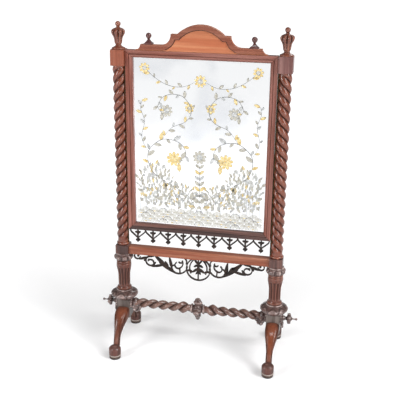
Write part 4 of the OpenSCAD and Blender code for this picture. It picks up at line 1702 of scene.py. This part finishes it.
@dataclass
class TwistStretcher(Assembly):
    """The stretcher: two twisted halves, the carved boss, the brackets and the end knobs."""

    spacing: float = 520.0
    block_half: float = 23.0
    level: float = 149.5
    start: float = 24.0
    stop: float = 228.0
    boss: float = 21.0
    leaf_reach: float = 40.0
    rosette: float = 20.0
    rosette_depth: float = 9.0
    bracket_reach: float = 42.0
    knob_out: float = 29.0
    knob_reach: float = 19.5
    tip_out: float = 53.0
    tip: float = 4.2

    def half_mesh(self) -> Mesh:
        """Makes the right twisted half."""
        rope = Rope(
            length=self.stop - self.start, strands=2, pitch=71.0, radius=16.5, strand_radius=9.9, phase=12.6, hand=1,
            fades=(12.0, 10.0), end_radius=11.9, swell=0.22, points=24, steps=130,
        )
        return moved(rope.mesh(), along(EAST, (self.start, 0.0, self.level)))

    def boss_mesh(self) -> Mesh:
        """Makes the centre boss with its four leaves.

        Returns:
            The boss.
        """
        half = self.start
        ring = self.boss * 0.8
        side = [
            (0.0, -half), (ring - 3.6, -half), *bead_profile(ring, -half + 0.2, -half + 6.8, 3.2, 6),
            (ring - 5.2, -half + 7.6),
            *flowing(
                [(ring - 5.6, -half + 8.4), (self.boss - 4.0, -9.6), (self.boss - 0.6, -5.0), (self.boss, 0.0)], 4,
            )[:-1],
        ]
        profile = [*side, (self.boss, 0.0), *((r, -z) for r, z in reversed(side))]
        turned_boss = reshape(
            turned(profile, 72),
            lambda angle, level: 1.0 - 0.10 * window(level, -11.0, 11.0, 5.0) * (1.0 - lobes(angle, 8) ** 0.6),
        )
        whole = pour(bmesh.new(), moved(turned_boss, along(EAST, (0.0, 0.0, self.level))))
        inner = self.boss - 7.0
        for quarter in range(4):
            angle = quarter * FULL_TURN / 4.0
            axis = Vector((0.0, math.sin(angle), math.cos(angle)))
            leaf = bud(self.leaf_reach - inner, 15.5, 11.5, 0.62)
            origin = axis * inner + Vector((0.0, 0.0, self.level))
            pour(whole, moved(leaf, along(axis, origin)))
        return whole

    def rosette_mesh(self) -> Mesh:
        """Makes the scalloped plate that a bracket has against the base block, at the origin along +X."""
        profile = [
            (0.0, 0.0),
            *flowing(
                [
                    (self.rosette - 0.8, 0.0), (self.rosette, 2.2), (self.rosette - 1.6, 5.0),
                    (self.rosette - 5.6, 7.4), (self.rosette - 7.4, self.rosette_depth),
                ],
                5,
            ),
            (0.0, self.rosette_depth),
        ]
        plate = reshape(
            turned(profile, 96),
            lambda angle, level: 1.0 - 0.09 * window(level, 0.0, 9.0, 4.0) * (1.0 - lobes(angle, 12) ** 0.6),
        )
        return moved(plate, along(EAST, (0.0, 0.0, 0.0)))

    def bracket_mesh(self, reach: float) -> Mesh:
        """Makes a carved bracket: the plate and a spray of leaves under the stretcher.

        Args:
            reach: How far the bracket goes along the stretcher.

        Returns:
            The bracket, against a block at the origin, along +X.
        """
        whole = pour(bmesh.new(), self.rosette_mesh())
        if reach > 20.0:
            leaves = (
                ((0.30, 0.0, -1.0), (12.0, 0.0, -6.0), 31.0, 10.6, 14.4),
                ((0.72, 0.0, -0.80), (9.0, 0.0, -6.0), 33.0, 10.6, 15.2),
                ((1.0, 0.0, -0.30), (3.0, 0.0, -5.0), 38.0, 13.0, 16.6),
                ((1.0, 0.0, 0.02), (3.0, 0.0, 0.0), 34.0, 17.6, 17.2),
                ((0.34, 0.62, -0.80), (8.5, 2.0, -6.0), 26.0, 8.2, 7.0),
                ((0.34, -0.62, -0.80), (8.5, -2.0, -6.0), 26.0, 8.2, 7.0),
            )
        else:
            leaves = (
                ((0.10, 0.0, -1.0), (5.6, 0.0, -8.0), 29.2, 5.4, 12.0),
                ((0.05, 0.55, -1.0), (5.0, 3.0, -6.0), 24.0, 4.6, 7.0),
                ((0.05, -0.55, -1.0), (5.0, -3.0, -6.0), 24.0, 4.6, 7.0),
            )
        for axis, origin, length, width, thick in leaves:
            pour(whole, moved(bud(length, width, thick), along(Vector(axis).normalized(), origin)))
        return whole

    def knob_mesh(self) -> Mesh:
        """Makes an end knob: a stem, four lobes and a small ball at its tip.

        Returns:
            The knob, from the block's face at the origin, along +X.
        """
        out = self.knob_out
        profile = [
            (0.0, self.rosette_depth), (9.0, self.rosette_depth),
            *flowing(
                [
                    (9.2, self.rosette_depth + 1.0), (8.6, self.rosette_depth + 3.0),
                    (5.8, self.rosette_depth + 8.0), (6.2, out - 8.6), (10.4, out - 4.4), (11.0, out + 1.0),
                    (8.0, out + 7.0), (3.0, out + 11.4), (2.2, out + 14.0), (2.2, self.tip_out - self.tip),
                ],
                4,
            ),
        ]
        for degrees in range(-60, 90, 15):
            angle = math.radians(degrees)
            profile.append((self.tip * math.cos(angle), self.tip_out + self.tip * math.sin(angle)))
        profile.append((0.0, self.tip_out + self.tip))
        whole = pour(bmesh.new(), moved(turned(profile, 48), along(EAST, (0.0, 0.0, 0.0))))
        for quarter in range(4):
            angle = quarter * FULL_TURN / 4.0
            axis = Vector((0.0, math.sin(angle), math.cos(angle)))
            origin = axis * 4.0 + Vector((out, 0.0, 0.0))
            pour(whole, moved(bud(self.knob_reach - 4.0, 7.2, 7.2, 0.86, 3), along(axis, origin)))
        return whole

    def build(self) -> None:
        """Makes the stretcher and all that is carved round it."""
        self.place(self.boss_mesh(), "centre_boss_carved", DARK_MAHOGANY, Grain.LEVEL, ("centre_boss",))
        inwards = Matrix.Translation((-self.block_half, 0.0, self.level)) @ Matrix.Diagonal((-1.0, 1.0, 1.0, 1.0))
        outwards = Matrix.Translation((self.block_half, 0.0, self.level))
        carvings = (
            ("inner_bracket", lambda: self.bracket_mesh(self.bracket_reach), inwards),
            ("outer_bracket", lambda: self.bracket_mesh(self.rosette_depth + 3.0), outwards),
            ("end_knob", self.knob_mesh, outwards),
        )
        for side in Side:
            name = f"{side.word}_stretcher"
            half = moved(self.half_mesh(), Matrix.Diagonal((float(side.value), 1.0, 1.0, 1.0)))
            self.place(half, f"{name}_twist", STRETCHER_MAHOGANY, Grain.LEVEL, (name,))
            for word, make, seat in carvings:
                name = f"{side.word}_{word}"
                bm = moved(moved(make(), seat), at_post(side, self.spacing))
                self.place(bm, f"{name}_carved", DARK_MAHOGANY, Grain.LEVEL, (name,))


@dataclass
class RailAndFret(Assembly):
    """The lower rail with its eased edges, and the black scroll fret that hangs under it."""

    rail_edge: float = 1.0
    fret_edge: float = 0.6
    fret_grow: float = 0.4

    def build(self) -> None:
        """Makes the rail and the fret."""
        self.soften("lower_rail", RAIL_MAHOGANY, Grain.LEVEL, self.rail_edge)
        self.soften("scroll_fret", FRET_BLACK, Grain.LEVEL, self.fret_edge, 2, self.fret_grow)


@dataclass
class MirrorFrame(Assembly):
    """The mitred frame with its mirror, its back, its drop fret and the tongues that run in the posts."""

    body: ClassVar[Body] = Body.PANEL

    frame_edge: float = 1.0
    metal_edge: float = 0.3
    fret_edge: float = 0.6
    fret_grow: float = 0.35
    half_width: float = 237.0
    low: float = 428.0
    high: float = 1023.0
    front: float = -12.0
    quirk_inset: float = 12.2
    quirk_half: float = 1.2
    quirk_depth: float = 2.0

    def inset(self, spot: Vector) -> float:
        """How far a point lies inside the frame's outer edge."""
        return min(self.half_width - abs(spot.x), self.high - spot.z, spot.z - self.low)

    def quirked(self, node: str, upright: bool, seat: Vector) -> Mesh:
        """Copies a member of the frame and cuts the fine quirk between its face and its sight edge.

        Args:
            node: The member's node.
            upright: Whether the quirk runs along Z, or else along X.
            seat: A point on the quirk.

        Returns:
            The member, with its sight edge marked as rubbed and its quirk marked dark, as dark wax with painted
            shade.
        """
        cutter = bmesh.new()
        bmesh.ops.create_cone(cutter, cap_ends=True, segments=4, radius1=1.0, radius2=1.0, depth=1200.0)
        bmesh.ops.scale(cutter, vec=(self.quirk_half, self.quirk_depth, 1.0), verts=cutter.verts)
        turn = Matrix.Identity(4) if upright else Matrix.Rotation(math.pi / 2.0, 4, "Y")
        moved(cutter, Matrix.Translation(seat) @ turn)
        bm = carved(softened(node, self.frame_edge, 2), cutter)
        layer = carve_and_shade_layer(bm)
        for vert in bm.verts:
            inset = self.inset(vert.co)
            # The quirk's floor is darkened as dark wax with painted shade; the sight edge is marked as rubbed
            if vert.co.y > self.front + self.quirk_depth * 0.6 and abs(inset - self.quirk_inset) < 0.4:
                vert[layer] = 1.0
            elif inset > self.quirk_inset + 0.6 and vert.co.y < 0.0:
                vert[layer] = -0.55
        return bm

    def build(self) -> None:
        """Makes the frame and dresses what it holds."""
        for side in Side:
            name = f"{side.word}_stile"
            seat = Vector((side.value * (self.half_width - self.quirk_inset), self.front, self.low))
            bm = self.quirked(name, True, seat)
            self.place(bm, f"{name}_eased", FRAME_MAHOGANY, Grain.UPRIGHT, (name,), True)
            self.soften(f"{side.word}_tongue", SHADE_DARK_BRASS, Grain.UPRIGHT, self.metal_edge)
        for name, level, finish in (
            ("top_rail", self.high - self.quirk_inset, FRAME_MAHOGANY),
            ("bottom_rail", self.low + self.quirk_inset, LOW_MAHOGANY),
        ):
            bm = self.quirked(name, False, Vector((0.0, self.front, level)))
            self.place(bm, f"{name}_eased", finish, Grain.LEVEL, (name,), True)
        self.soften("drop_fret", FRET_BLACK, Grain.LEVEL, self.fret_edge, 2, self.fret_grow)
        self.soften("turn_buttons", BRASS, Grain.LEVEL, self.metal_edge)
        self.soften("backboard", PINE, Grain.UPRIGHT, 0.6)
        self.dress("mirror_plate", SILVERING, Grain.UPRIGHT)


@dataclass
class Crest(Assembly):
    """The arched crest on the panel: its board, its raised moulding and two balls on plinths."""

    body: ClassVar[Body] = Body.PANEL

    ball_x: float = 163.0
    foot: float = 1041.0
    plinth: float = 28.0
    depth: float = 20.0
    plinth_foot: float = 4.0
    roof: float = 14.0
    neck: float = 3.0
    ball: float = 9.0
    line: float = 2.0
    proud: float = 0.2
    face: float = -8.0

    def shade_line(self) -> Mesh:
        """Draws a dark strip on the board along the moulding's inner edge, as painted shade where the moulding meets
        the board.

        Returns:
            The dark strip.
        """
        bm = copied("crest_moulding")
        bm.normal_update()
        low = min(vert.co.z for vert in bm.verts)
        middle = Vector((0.0, 0.0, self.foot - 11.0))
        for vert, normal in [(v, v.normal.copy()) for v in bm.verts]:
            way = Vector((normal.x, 0.0, normal.z)).normalized()
            towards = middle - Vector((vert.co.x, 0.0, vert.co.z))
            if way.dot(towards.normalized()) > 0.1:
                vert.co += way * self.line
            vert.co.y = self.face + math.copysign(self.proud, normal.y)
            vert.co.z = max(vert.co.z, low)
        return bm

    def ball_mesh(self) -> Mesh:
        """Makes one ball on its plinth, at the origin.

        Returns:
            The plinth with its ball.
        """
        low = eased_box(
            (-self.plinth / 2.0, -self.depth / 2.0, 0.0), (self.plinth / 2.0, self.depth / 2.0, self.plinth_foot),
            0.8,
        )
        roof = tower(4, 12)
        moved(roof, Matrix.Rotation(math.pi / 4.0, 4, "Z"))
        for vert in roof.verts:
            fall = (1.0 - min(max(vert.co.z, 0.0), 1.0)) ** 1.9
            wide = self.neck + (self.plinth / 2.0 - 1.0 - self.neck) * fall
            deep = self.neck + (self.depth / 2.0 - 1.0 - self.neck) * fall
            vert.co = (
                math.copysign(wide, vert.co.x), math.copysign(deep, vert.co.y),
                self.plinth_foot + self.roof * vert.co.z,
            )
        outward(roof)
        middle = self.plinth_foot + self.roof + self.ball - 1.0
        profile = [(0.0, self.plinth_foot), (self.neck - 0.4, self.plinth_foot), (self.neck - 0.4, middle - 9.6)]
        profile += bead_profile(self.neck + 2.0, middle - 9.4, middle - 7.6, 1.4, 5)
        for degrees in range(-55, 90, 8):
            angle = math.radians(degrees)
            profile.append((self.ball * math.cos(angle), middle + self.ball * math.sin(angle)))
        profile.append((0.0, middle + self.ball))
        return pour(bmesh.new(), low, roof, turned(profile, 48))

    def build(self) -> None:
        """Makes the crest."""
        self.soften("crest_board", LIGHT_MAHOGANY, Grain.LEVEL, 0.8)
        self.place(self.shade_line(), "crest_shade_line", FRET_BLACK, Grain.LEVEL)
        self.soften("crest_moulding", RED_MAHOGANY, Grain.LEVEL, 1.6, 3)
        for side in Side:
            bm = moved(self.ball_mesh(), Matrix.Translation((side.value * self.ball_x, 0.0, self.foot)))
            name = f"{side.word}_crest_ball"
            self.place(bm, f"{name}_turned", BALL_MAHOGANY, Grain.UPRIGHT, (name,))


@dataclass
class MirrorPainting(Assembly):
    """Painted ornament on the mirror: a symmetrical plant of scrolling stems over a border of fans.

    Each stroke is a thin sheet of paint in front of the glass, drawn in the panel's own plane.
    """

    body: ClassVar[Body] = Body.PANEL

    half_width: float = 208.0
    foot: float = 456.0
    line: float = 1.0
    fill_front: float = 0.25
    line_front: float = 0.45
    step: float = 0.004
    thickness: float = 0.15
    count: int = 0
    twins: bool = True
    inks: dict[str, Mesh] = field(default_factory=dict)

    def ink(self, color: str) -> Mesh:
        """The mesh that takes the strokes of one colour."""
        return self.inks.setdefault(color, bmesh.new())

    def front(self, nearest: float) -> float:
        """The depth of the next sheet of paint, so that no two overlap in one plane."""
        self.count += 1
        return -nearest - self.step * (self.count % 47)

    def stroke(self, path: Sequence[Point], width: float, taper: float = 0.5, color: str = "line") -> None:
        """Draws one brush stroke and its mirror image.

        Args:
            path: The points that the stroke follows.
            width: Its width in the middle.
            taper: How wide its ends are against its middle.
            color: The colour that it is drawn in.
        """
        bm = self.ink(color)
        for sign in (1.0, -1.0) if self.twins else (1.0,):
            spots = [Vector(point) for point in path]
            last = len(spots) - 1
            front = self.front(self.line_front)
            sheet = bmesh.ops.create_grid(bm, x_segments=last, y_segments=1, size=0.5)["verts"]
            for vert in sheet:
                index = round((vert.co.x + 0.5) * last)
                way = (spots[min(index + 1, last)] - spots[max(index - 1, 0)]).normalized()
                share = taper + (1.0 - taper) * math.sin(math.pi * index / last)
                out = spots[index] + Vector((-way.y, way.x)) * (width * share * vert.co.y)
                vert.co = (sign * out.x, front, out.y)

    def patch(self, color: str, spot: Vector, way: float, length: float, width: float) -> None:
        """Fills one leaf or petal shape and its mirror image.

        Args:
            color: The colour that it is filled with.
            spot: Where the shape starts.
            way: Its direction, in radians from +X towards +Z.
            length: Its length.
            width: Its width.
        """
        for sign in (1.0, -1.0) if self.twins else (1.0,):
            shape = bmesh.ops.create_circle(self.ink(color), cap_ends=True, radius=1.0, segments=12)["verts"]
            front = self.front(self.fill_front)
            for vert in shape:
                share = (vert.co.x + 1.0) / 2.0
                out = share * length
                side = math.copysign(abs(vert.co.y) ** 1.25, vert.co.y) * width / 2.0
                x = spot.x + out * math.cos(way) - side * math.sin(way)
                z = spot.y + out * math.sin(way) + side * math.cos(way)
                vert.co = (sign * x, front, z)

    def leaf(self, spot: Vector, way: float, length: float, fill: str = "grey", outline: str = "line") -> None:
        """Draws a leaf with its outline and its middle vein.

        Args:
            spot: Where it grows.
            way: Its direction, in radians.
            length: Its length.
            fill: The colour that it is filled with.
            outline: The colour of its outline.
        """
        width = length * 0.46
        self.patch(fill, spot, way, length, width)
        out = Vector((math.cos(way), math.sin(way)))
        beside = Vector((-out.y, out.x))
        for edge in (-1.0, 1.0):
            bow = []
            for index in range(6):
                share = index / 5.0
                reach = math.sin(math.pi * share) ** 0.8 * width / 2.0
                bow.append(tuple(spot + out * (share * length) + beside * (edge * reach)))
            self.stroke(bow, self.line * 0.55, 0.5, outline)
        self.stroke([tuple(spot + out * (length * i / 3.0)) for i in range(4)], self.line * 0.5, 0.5, outline)

    def rosette(self, spot: Vector, radius: float, petals: int, outer: str, inner: str) -> None:
        """Draws a round flower with two rings of plain petals.

        Args:
            spot: Its middle.
            radius: Its radius.
            petals: How many petals each ring has.
            outer: The colour of the outer petals.
            inner: The colour of the inner petals.
        """
        for ring, (start, stop, color) in enumerate(((0.34, 1.0, outer), (0.06, 0.52, inner))):
            for index in range(petals):
                way = FULL_TURN * (index + 0.25 + 0.5 * ring) / petals
                out = Vector((math.cos(way), math.sin(way)))
                beside = Vector((-out.y, out.x))
                length = radius * (stop - start)
                width = FULL_TURN * radius * (start + stop) / 2.0 / petals * 0.92
                root = spot + out * (radius * start)
                self.patch(color, root, way, length, width)
                tip = [
                    tuple(
                        root
                        + out * (length * (0.55 + 0.42 * math.cos(angle)))
                        + beside * (width * 0.46 * math.sin(angle))
                    )
                    for angle in (math.pi * (step - 3.0) / 5.0 for step in range(7))
                ]
                self.stroke(tip, self.line * 0.45)
        self.patch("faint", spot - Vector((radius * 0.09, 0.0)), 0.0, radius * 0.18, radius * 0.18)

    def stem(self, points: Sequence[Point], width: float) -> list[Vector]:
        """Draws a stem through a few points.

        Args:
            points: The points that it goes through.
            width: Its width.

        Returns:
            The points of the drawn stem.
        """
        path = [Vector(p) for p in flowing([(x + 400.0, z) for x, z in points], 8)]
        path = [Vector((p.x - 400.0, p.y)) for p in path]
        self.stroke([tuple(p) for p in path], width)
        return path

    def sprays(self, path: Sequence[Vector], gaps: int, length: float, ochre_every: int) -> None:
        """Sets leaves in turn on both sides of a stem.

        Args:
            path: The stem's points.
            gaps: How many points lie between two leaves.
            length: The length of a leaf.
            ochre_every: One leaf in so many is ochre.
        """
        for number, index in enumerate(range(gaps, len(path) - 1, gaps)):
            way = path[index + 1] - path[index - 1]
            lean = 0.85 if number % 2 else -0.85
            angle = math.atan2(way.y, way.x) + lean
            scale = 1.0 + 0.22 * math.sin(2.3 * number)
            fill = "ochre" if number % ochre_every == 0 else ("grey", "faint")[number % 2]
            self.leaf(path[index], angle, length * scale, fill)

    def thicket(self, middle: Point, reach: Point, count: int, length: float) -> None:
        """Fills an oval with small leaves that point away from its foot.

        Args:
            middle: The oval's middle.
            reach: Its half width and half height.
            count: How many leaves it has.
            length: The length of a leaf.
        """
        for number in range(count):
            out = math.sqrt((number + 0.5) / count)
            turn = number * 2.39996
            x = middle[0] + reach[0] * out * math.cos(turn)
            z = middle[1] + reach[1] * out * math.sin(turn)
            if not 6.0 < x < self.half_width - 6.0 or z < self.foot + 8.0:
                continue
            way = math.atan2(z - middle[1] + 1.6 * reach[1], x - middle[0]) + 0.5 * math.sin(3.1 * number)
            fill = ("faint", "grey", "grey", "ochre", "faint", "grey", "faint")[number % 7]
            outline = "line" if number % 5 == 0 else "faint"
            self.leaf(Vector((x, z)), way, length * (0.8 + 0.4 * math.sin(1.7 * number) ** 2), fill, outline)

    def fans(self) -> None:
        """Draws the border of overlapping fans along the bottom."""
        radius = 15.0
        for row in range(5):
            level = self.foot + row * radius * 0.62
            shift = radius if row % 2 else 0.0
            for column in range(8):
                x = shift + column * 2.0 * radius
                if x > self.half_width - radius * 0.4:
                    continue
                for ring in (1.0, 0.78, 0.55, 0.32):
                    arc = [
                        (x + ring * radius * math.cos(a), level + ring * radius * math.sin(a))
                        for a in (math.pi * step / 10.0 for step in range(11))
                    ]
                    arc = [p for p in arc if p[0] < self.half_width]
                    if len(arc) > 2:
                        color = "line" if ring == 1.0 and (row + column) % 4 == 0 else "faint"
                        self.stroke(arc, self.line * 1.6, 1.0, color)
                if (row + column) % 3 == 0 and x + 8.0 < self.half_width:
                    self.patch("ochre", Vector((x - 5.0, level + 3.0)), 0.0, 10.0, 5.0)

    def reeds(self) -> None:
        """Draws the upright reeds that stand behind the fans."""
        for index in range(19):
            x = 7.0 + index * 10.6
            tall = 62.0 + 22.0 * math.sin(index * 1.9) + 0.16 * x
            foot = self.foot + 36.0
            lean = 6.0 * math.sin(index * 2.7)
            path = [(x + lean * (s / 6.0) ** 2, foot + tall * s / 6.0) for s in range(7)]
            self.stroke(path, self.line * 0.8, 0.5, ("line", "faint")[index % 2])
            tip = Vector(path[-1])
            self.leaf(tip, math.pi / 2.0 + lean * 0.03, 14.0, ("grey", "ochre", "faint")[index % 3])
            for step in (2, 4):
                lean_way = math.pi / 2.0 + (0.7 if (index + step // 2) % 2 else -0.7)
                colors = (("faint", "faint"), ("grey", "line"))[index % 2]
                self.leaf(Vector(path[step]), lean_way, 15.0, *colors)

    def on_axis(self) -> None:
        """Draws what stands on the middle line, and so isn't doubled."""
        self.twins = False
        axis = self.stem([(0, 520), (1, 570), (0, 620), (1, 668)], self.line * 1.4)
        for number, index in enumerate(range(3, len(axis) - 1, 3)):
            for lean in (0.8, -0.8):
                fill = ("faint", "grey", "ochre")[number % 3]
                self.leaf(axis[index], math.pi / 2.0 + lean, 25.0 - number, fill)
        self.rosette(Vector((0, 690)), 23.0, 9, "faint", "grey")
        self.rosette(Vector((0, 934)), 20.0, 9, "ochre", "grey")
        self.twins = True

    def build(self) -> None:
        """Draws the whole ornament."""
        self.fans()
        self.reeds()
        self.thicket((146.0, 584.0), (62.0, 74.0), 110, 15.0)
        self.thicket((60.0, 552.0), (54.0, 38.0), 54, 13.0)
        main = self.stem(
            [(4, 500), (40, 560), (108, 598), (160, 640), (168, 700), (122, 742), (66, 734), (44, 696), (70, 664)],
            self.line * 1.7,
        )
        self.sprays(main, 3, 24.0, 4)
        self.rosette(Vector((84, 680)), 25.0, 9, "ochre", "ochre")
        climb = self.stem(
            [(122, 742), (92, 782), (44, 806), (28, 846), (60, 886), (112, 884), (136, 850), (118, 824)],
            self.line * 1.4,
        )
        self.sprays(climb, 3, 19.0, 4)
        self.rosette(Vector((108, 836)), 20.0, 8, "faint", "grey")
        self.rosette(Vector((34, 848)), 15.0, 7, "ochre", "faint")
        crown = self.stem([(18, 930), (58, 914), (104, 918), (146, 940), (170, 962)], self.line * 1.2)
        self.sprays(crown, 4, 16.0, 2)
        self.rosette(Vector((178, 968)), 17.0, 8, "ochre", "grey")
        outer = self.stem([(168, 700), (190, 744), (180, 798), (192, 840), (186, 868)], self.line * 1.1)
        self.sprays(outer, 3, 17.0, 3)
        self.on_axis()
        finishes = {"ochre": OCHRE_PAINT, "grey": GREY_PAINT, "line": LINE_PAINT, "faint": FAINT_PAINT}
        for color, bm in self.inks.items():
            bmesh.ops.recalc_face_normals(bm, faces=bm.faces)
            bmesh.ops.reverse_faces(bm, faces=[f for f in bm.faces if f.normal.y > 0.0])
            bmesh.ops.solidify(bm, geom=list(bm.faces), thickness=self.thickness)
            self.place(bm, f"painting_{color}", finishes[color], Grain.UPRIGHT)


@dataclass
class Studio:
    """The plain pale floor, the soft lights and the camera."""

    camera_place: tuple[float, float, float] = (0.449, -2.247, 1.382)
    azimuth: float = 11.23
    pitch: float = 20.03
    roll: float = 0.69
    lens: float = 67.56
    floor_size: float = 60.0
    floor_color: Color = (0.80, 0.80, 0.805, 1.0)
    near_glow: float = 0.20
    far_glow: float = 0.64
    glow_reach: float = 2.6
    world_strength: float = 0.2
    sun_strength: float = 2.0
    sun_spread: float = 34.0

    def floor(self) -> None:
        """Lays the floor, which is brightened for the camera and the mirror, and more so far away."""
        bm = bmesh.new()
        bmesh.ops.create_grid(bm, x_segments=1, y_segments=1, size=self.floor_size / 2.0)
        mesh = bpy.data.meshes.new("floor")
        bm.to_mesh(mesh)
        bm.free()
        canvas = Canvas("pale_floor", Grain.LEVEL, None)
        near = canvas.add("ShaderNodeTexGradient", gradient_type="SPHERICAL")
        canvas.feed(near.inputs["Vector"], canvas.stretched((1.0 / self.glow_reach,) * 3))
        glow = canvas.spread(near.outputs["Fac"], 0.0, 0.85, self.far_glow, self.near_glow)
        path = canvas.add("ShaderNodeLightPath").outputs
        mirrored = canvas.calc("MULTIPLY", path["Is Glossy Ray"], 0.75)
        seen = canvas.calc("MULTIPLY", glow, canvas.calc("ADD", path["Is Camera Ray"], mirrored))
        canvas.give("Emission Color", canvas.blend(seen, (0.0, 0.0, 0.0, 1.0), (1.0, 1.0, 1.0, 1.0)))
        canvas.give("Emission Strength", 1.0)
        canvas.give("Base Color", self.floor_color)
        canvas.give("Roughness", 0.9)
        canvas.give("Specular IOR Level", 0.1)
        mesh.materials.append(canvas.material)
        floor = bpy.data.objects.new("floor", mesh)
        bpy.context.scene.collection.objects.link(floor)

    def softbox(self, name: str, place: Sequence[float], aim: Sequence[float], size: Point, power: float) -> None:
        """Hangs one softbox.

        Args:
            name: Its name.
            place: Where it hangs.
            aim: The point that it faces.
            size: Its width and height.
            power: Its power in watts.
        """
        data = bpy.data.lights.new(name, "AREA")
        data.shape = "RECTANGLE"
        data.size = size[0]
        data.size_y = size[1]
        data.energy = power
        lamp = bpy.data.objects.new(name, data)
        way = Vector(aim) - Vector(place)
        lamp.matrix_world = Matrix.Translation(place) @ way.to_track_quat("-Z", "Y").to_matrix().to_4x4()
        bpy.context.scene.collection.objects.link(lamp)

    def lights(self) -> None:
        """Sets the pale surroundings and hangs the softboxes."""
        world = bpy.data.worlds.new("studio")
        world.use_nodes = True
        background = next(n for n in world.node_tree.nodes if n.type == "BACKGROUND")
        background.inputs["Color"].default_value = (1.0, 1.0, 1.0, 1.0)
        bench = Bench(world.node_tree)
        seen = bench.add("ShaderNodeLightPath").outputs["Is Camera Ray"]
        bench.feed(background.inputs["Strength"], bench.spread(seen, 0.0, 1.0, self.world_strength, 1.0))
        bpy.context.scene.world = world
        sun_data = bpy.data.lights.new("sky_panel", "SUN")
        sun_data.energy = self.sun_strength
        sun_data.angle = math.radians(self.sun_spread)
        sun = bpy.data.objects.new("sky_panel", sun_data)
        sun_way = Vector((-1.0, 0.35, -1.0))
        sun.matrix_world = sun_way.to_track_quat("-Z", "Y").to_matrix().to_4x4()
        bpy.context.scene.collection.objects.link(sun)
        middle = (0.0, 0.0, 0.6)
        self.softbox("left", (-1.75, -1.75, 1.35), middle, (0.8, 1.1), 36.0)
        self.softbox("right", (2.0, -1.1, 1.3), middle, (0.4, 1.2), 18.0)
        self.softbox("top", (0.2, -1.5, 2.9), middle, (0.8, 0.5), 15.0)
        self.softbox("front", (0.95, -2.3, 0.22), (0.0, 0.0, 0.25), (0.8, 0.22), 8.0)
        self.softbox("rear", (0.6, 2.4, 2.6), middle, (0.8, 0.5), 8.0)

    def camera(self) -> None:
        """Puts the camera where the photograph was taken from."""
        turn = math.radians(self.azimuth)
        down = math.radians(self.pitch)
        lean = math.radians(self.roll)
        back = Vector((math.sin(turn) * math.cos(down), -math.cos(turn) * math.cos(down), math.sin(down)))
        level = Vector((math.cos(turn), math.sin(turn), 0.0))
        upright = back.cross(level)
        right = math.cos(lean) * level + math.sin(lean) * upright
        above = -math.sin(lean) * level + math.cos(lean) * upright
        data = bpy.data.cameras.new("camera")
        data.lens = self.lens
        data.sensor_width = 36.0
        camera = bpy.data.objects.new("camera", data)
        basis = Matrix((right, above, back)).transposed().to_4x4()
        camera.matrix_world = Matrix.Translation(self.camera_place) @ basis
        bpy.context.scene.collection.objects.link(camera)
        bpy.context.scene.camera = camera

    def build(self) -> None:
        """Sets up the whole studio."""
        bpy.context.scene.view_settings.view_transform = "Standard"
        self.camera()
        self.floor()
        self.lights()


def main() -> None:
    """Builds the studio and every sub-assembly."""
    Studio().build()
    assemblies: tuple[Assembly, ...] = (
        Trestle(), LowerTurning(), TwistPost(), Finial(), TwistStretcher(), RailAndFret(), MirrorFrame(), Crest(),
        MirrorPainting(),
    )
    for assembly in assemblies:
        log.info("%s", type(assembly).__name__)
        assembly.build()
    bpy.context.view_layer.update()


if __name__ == "__main__":
    main()
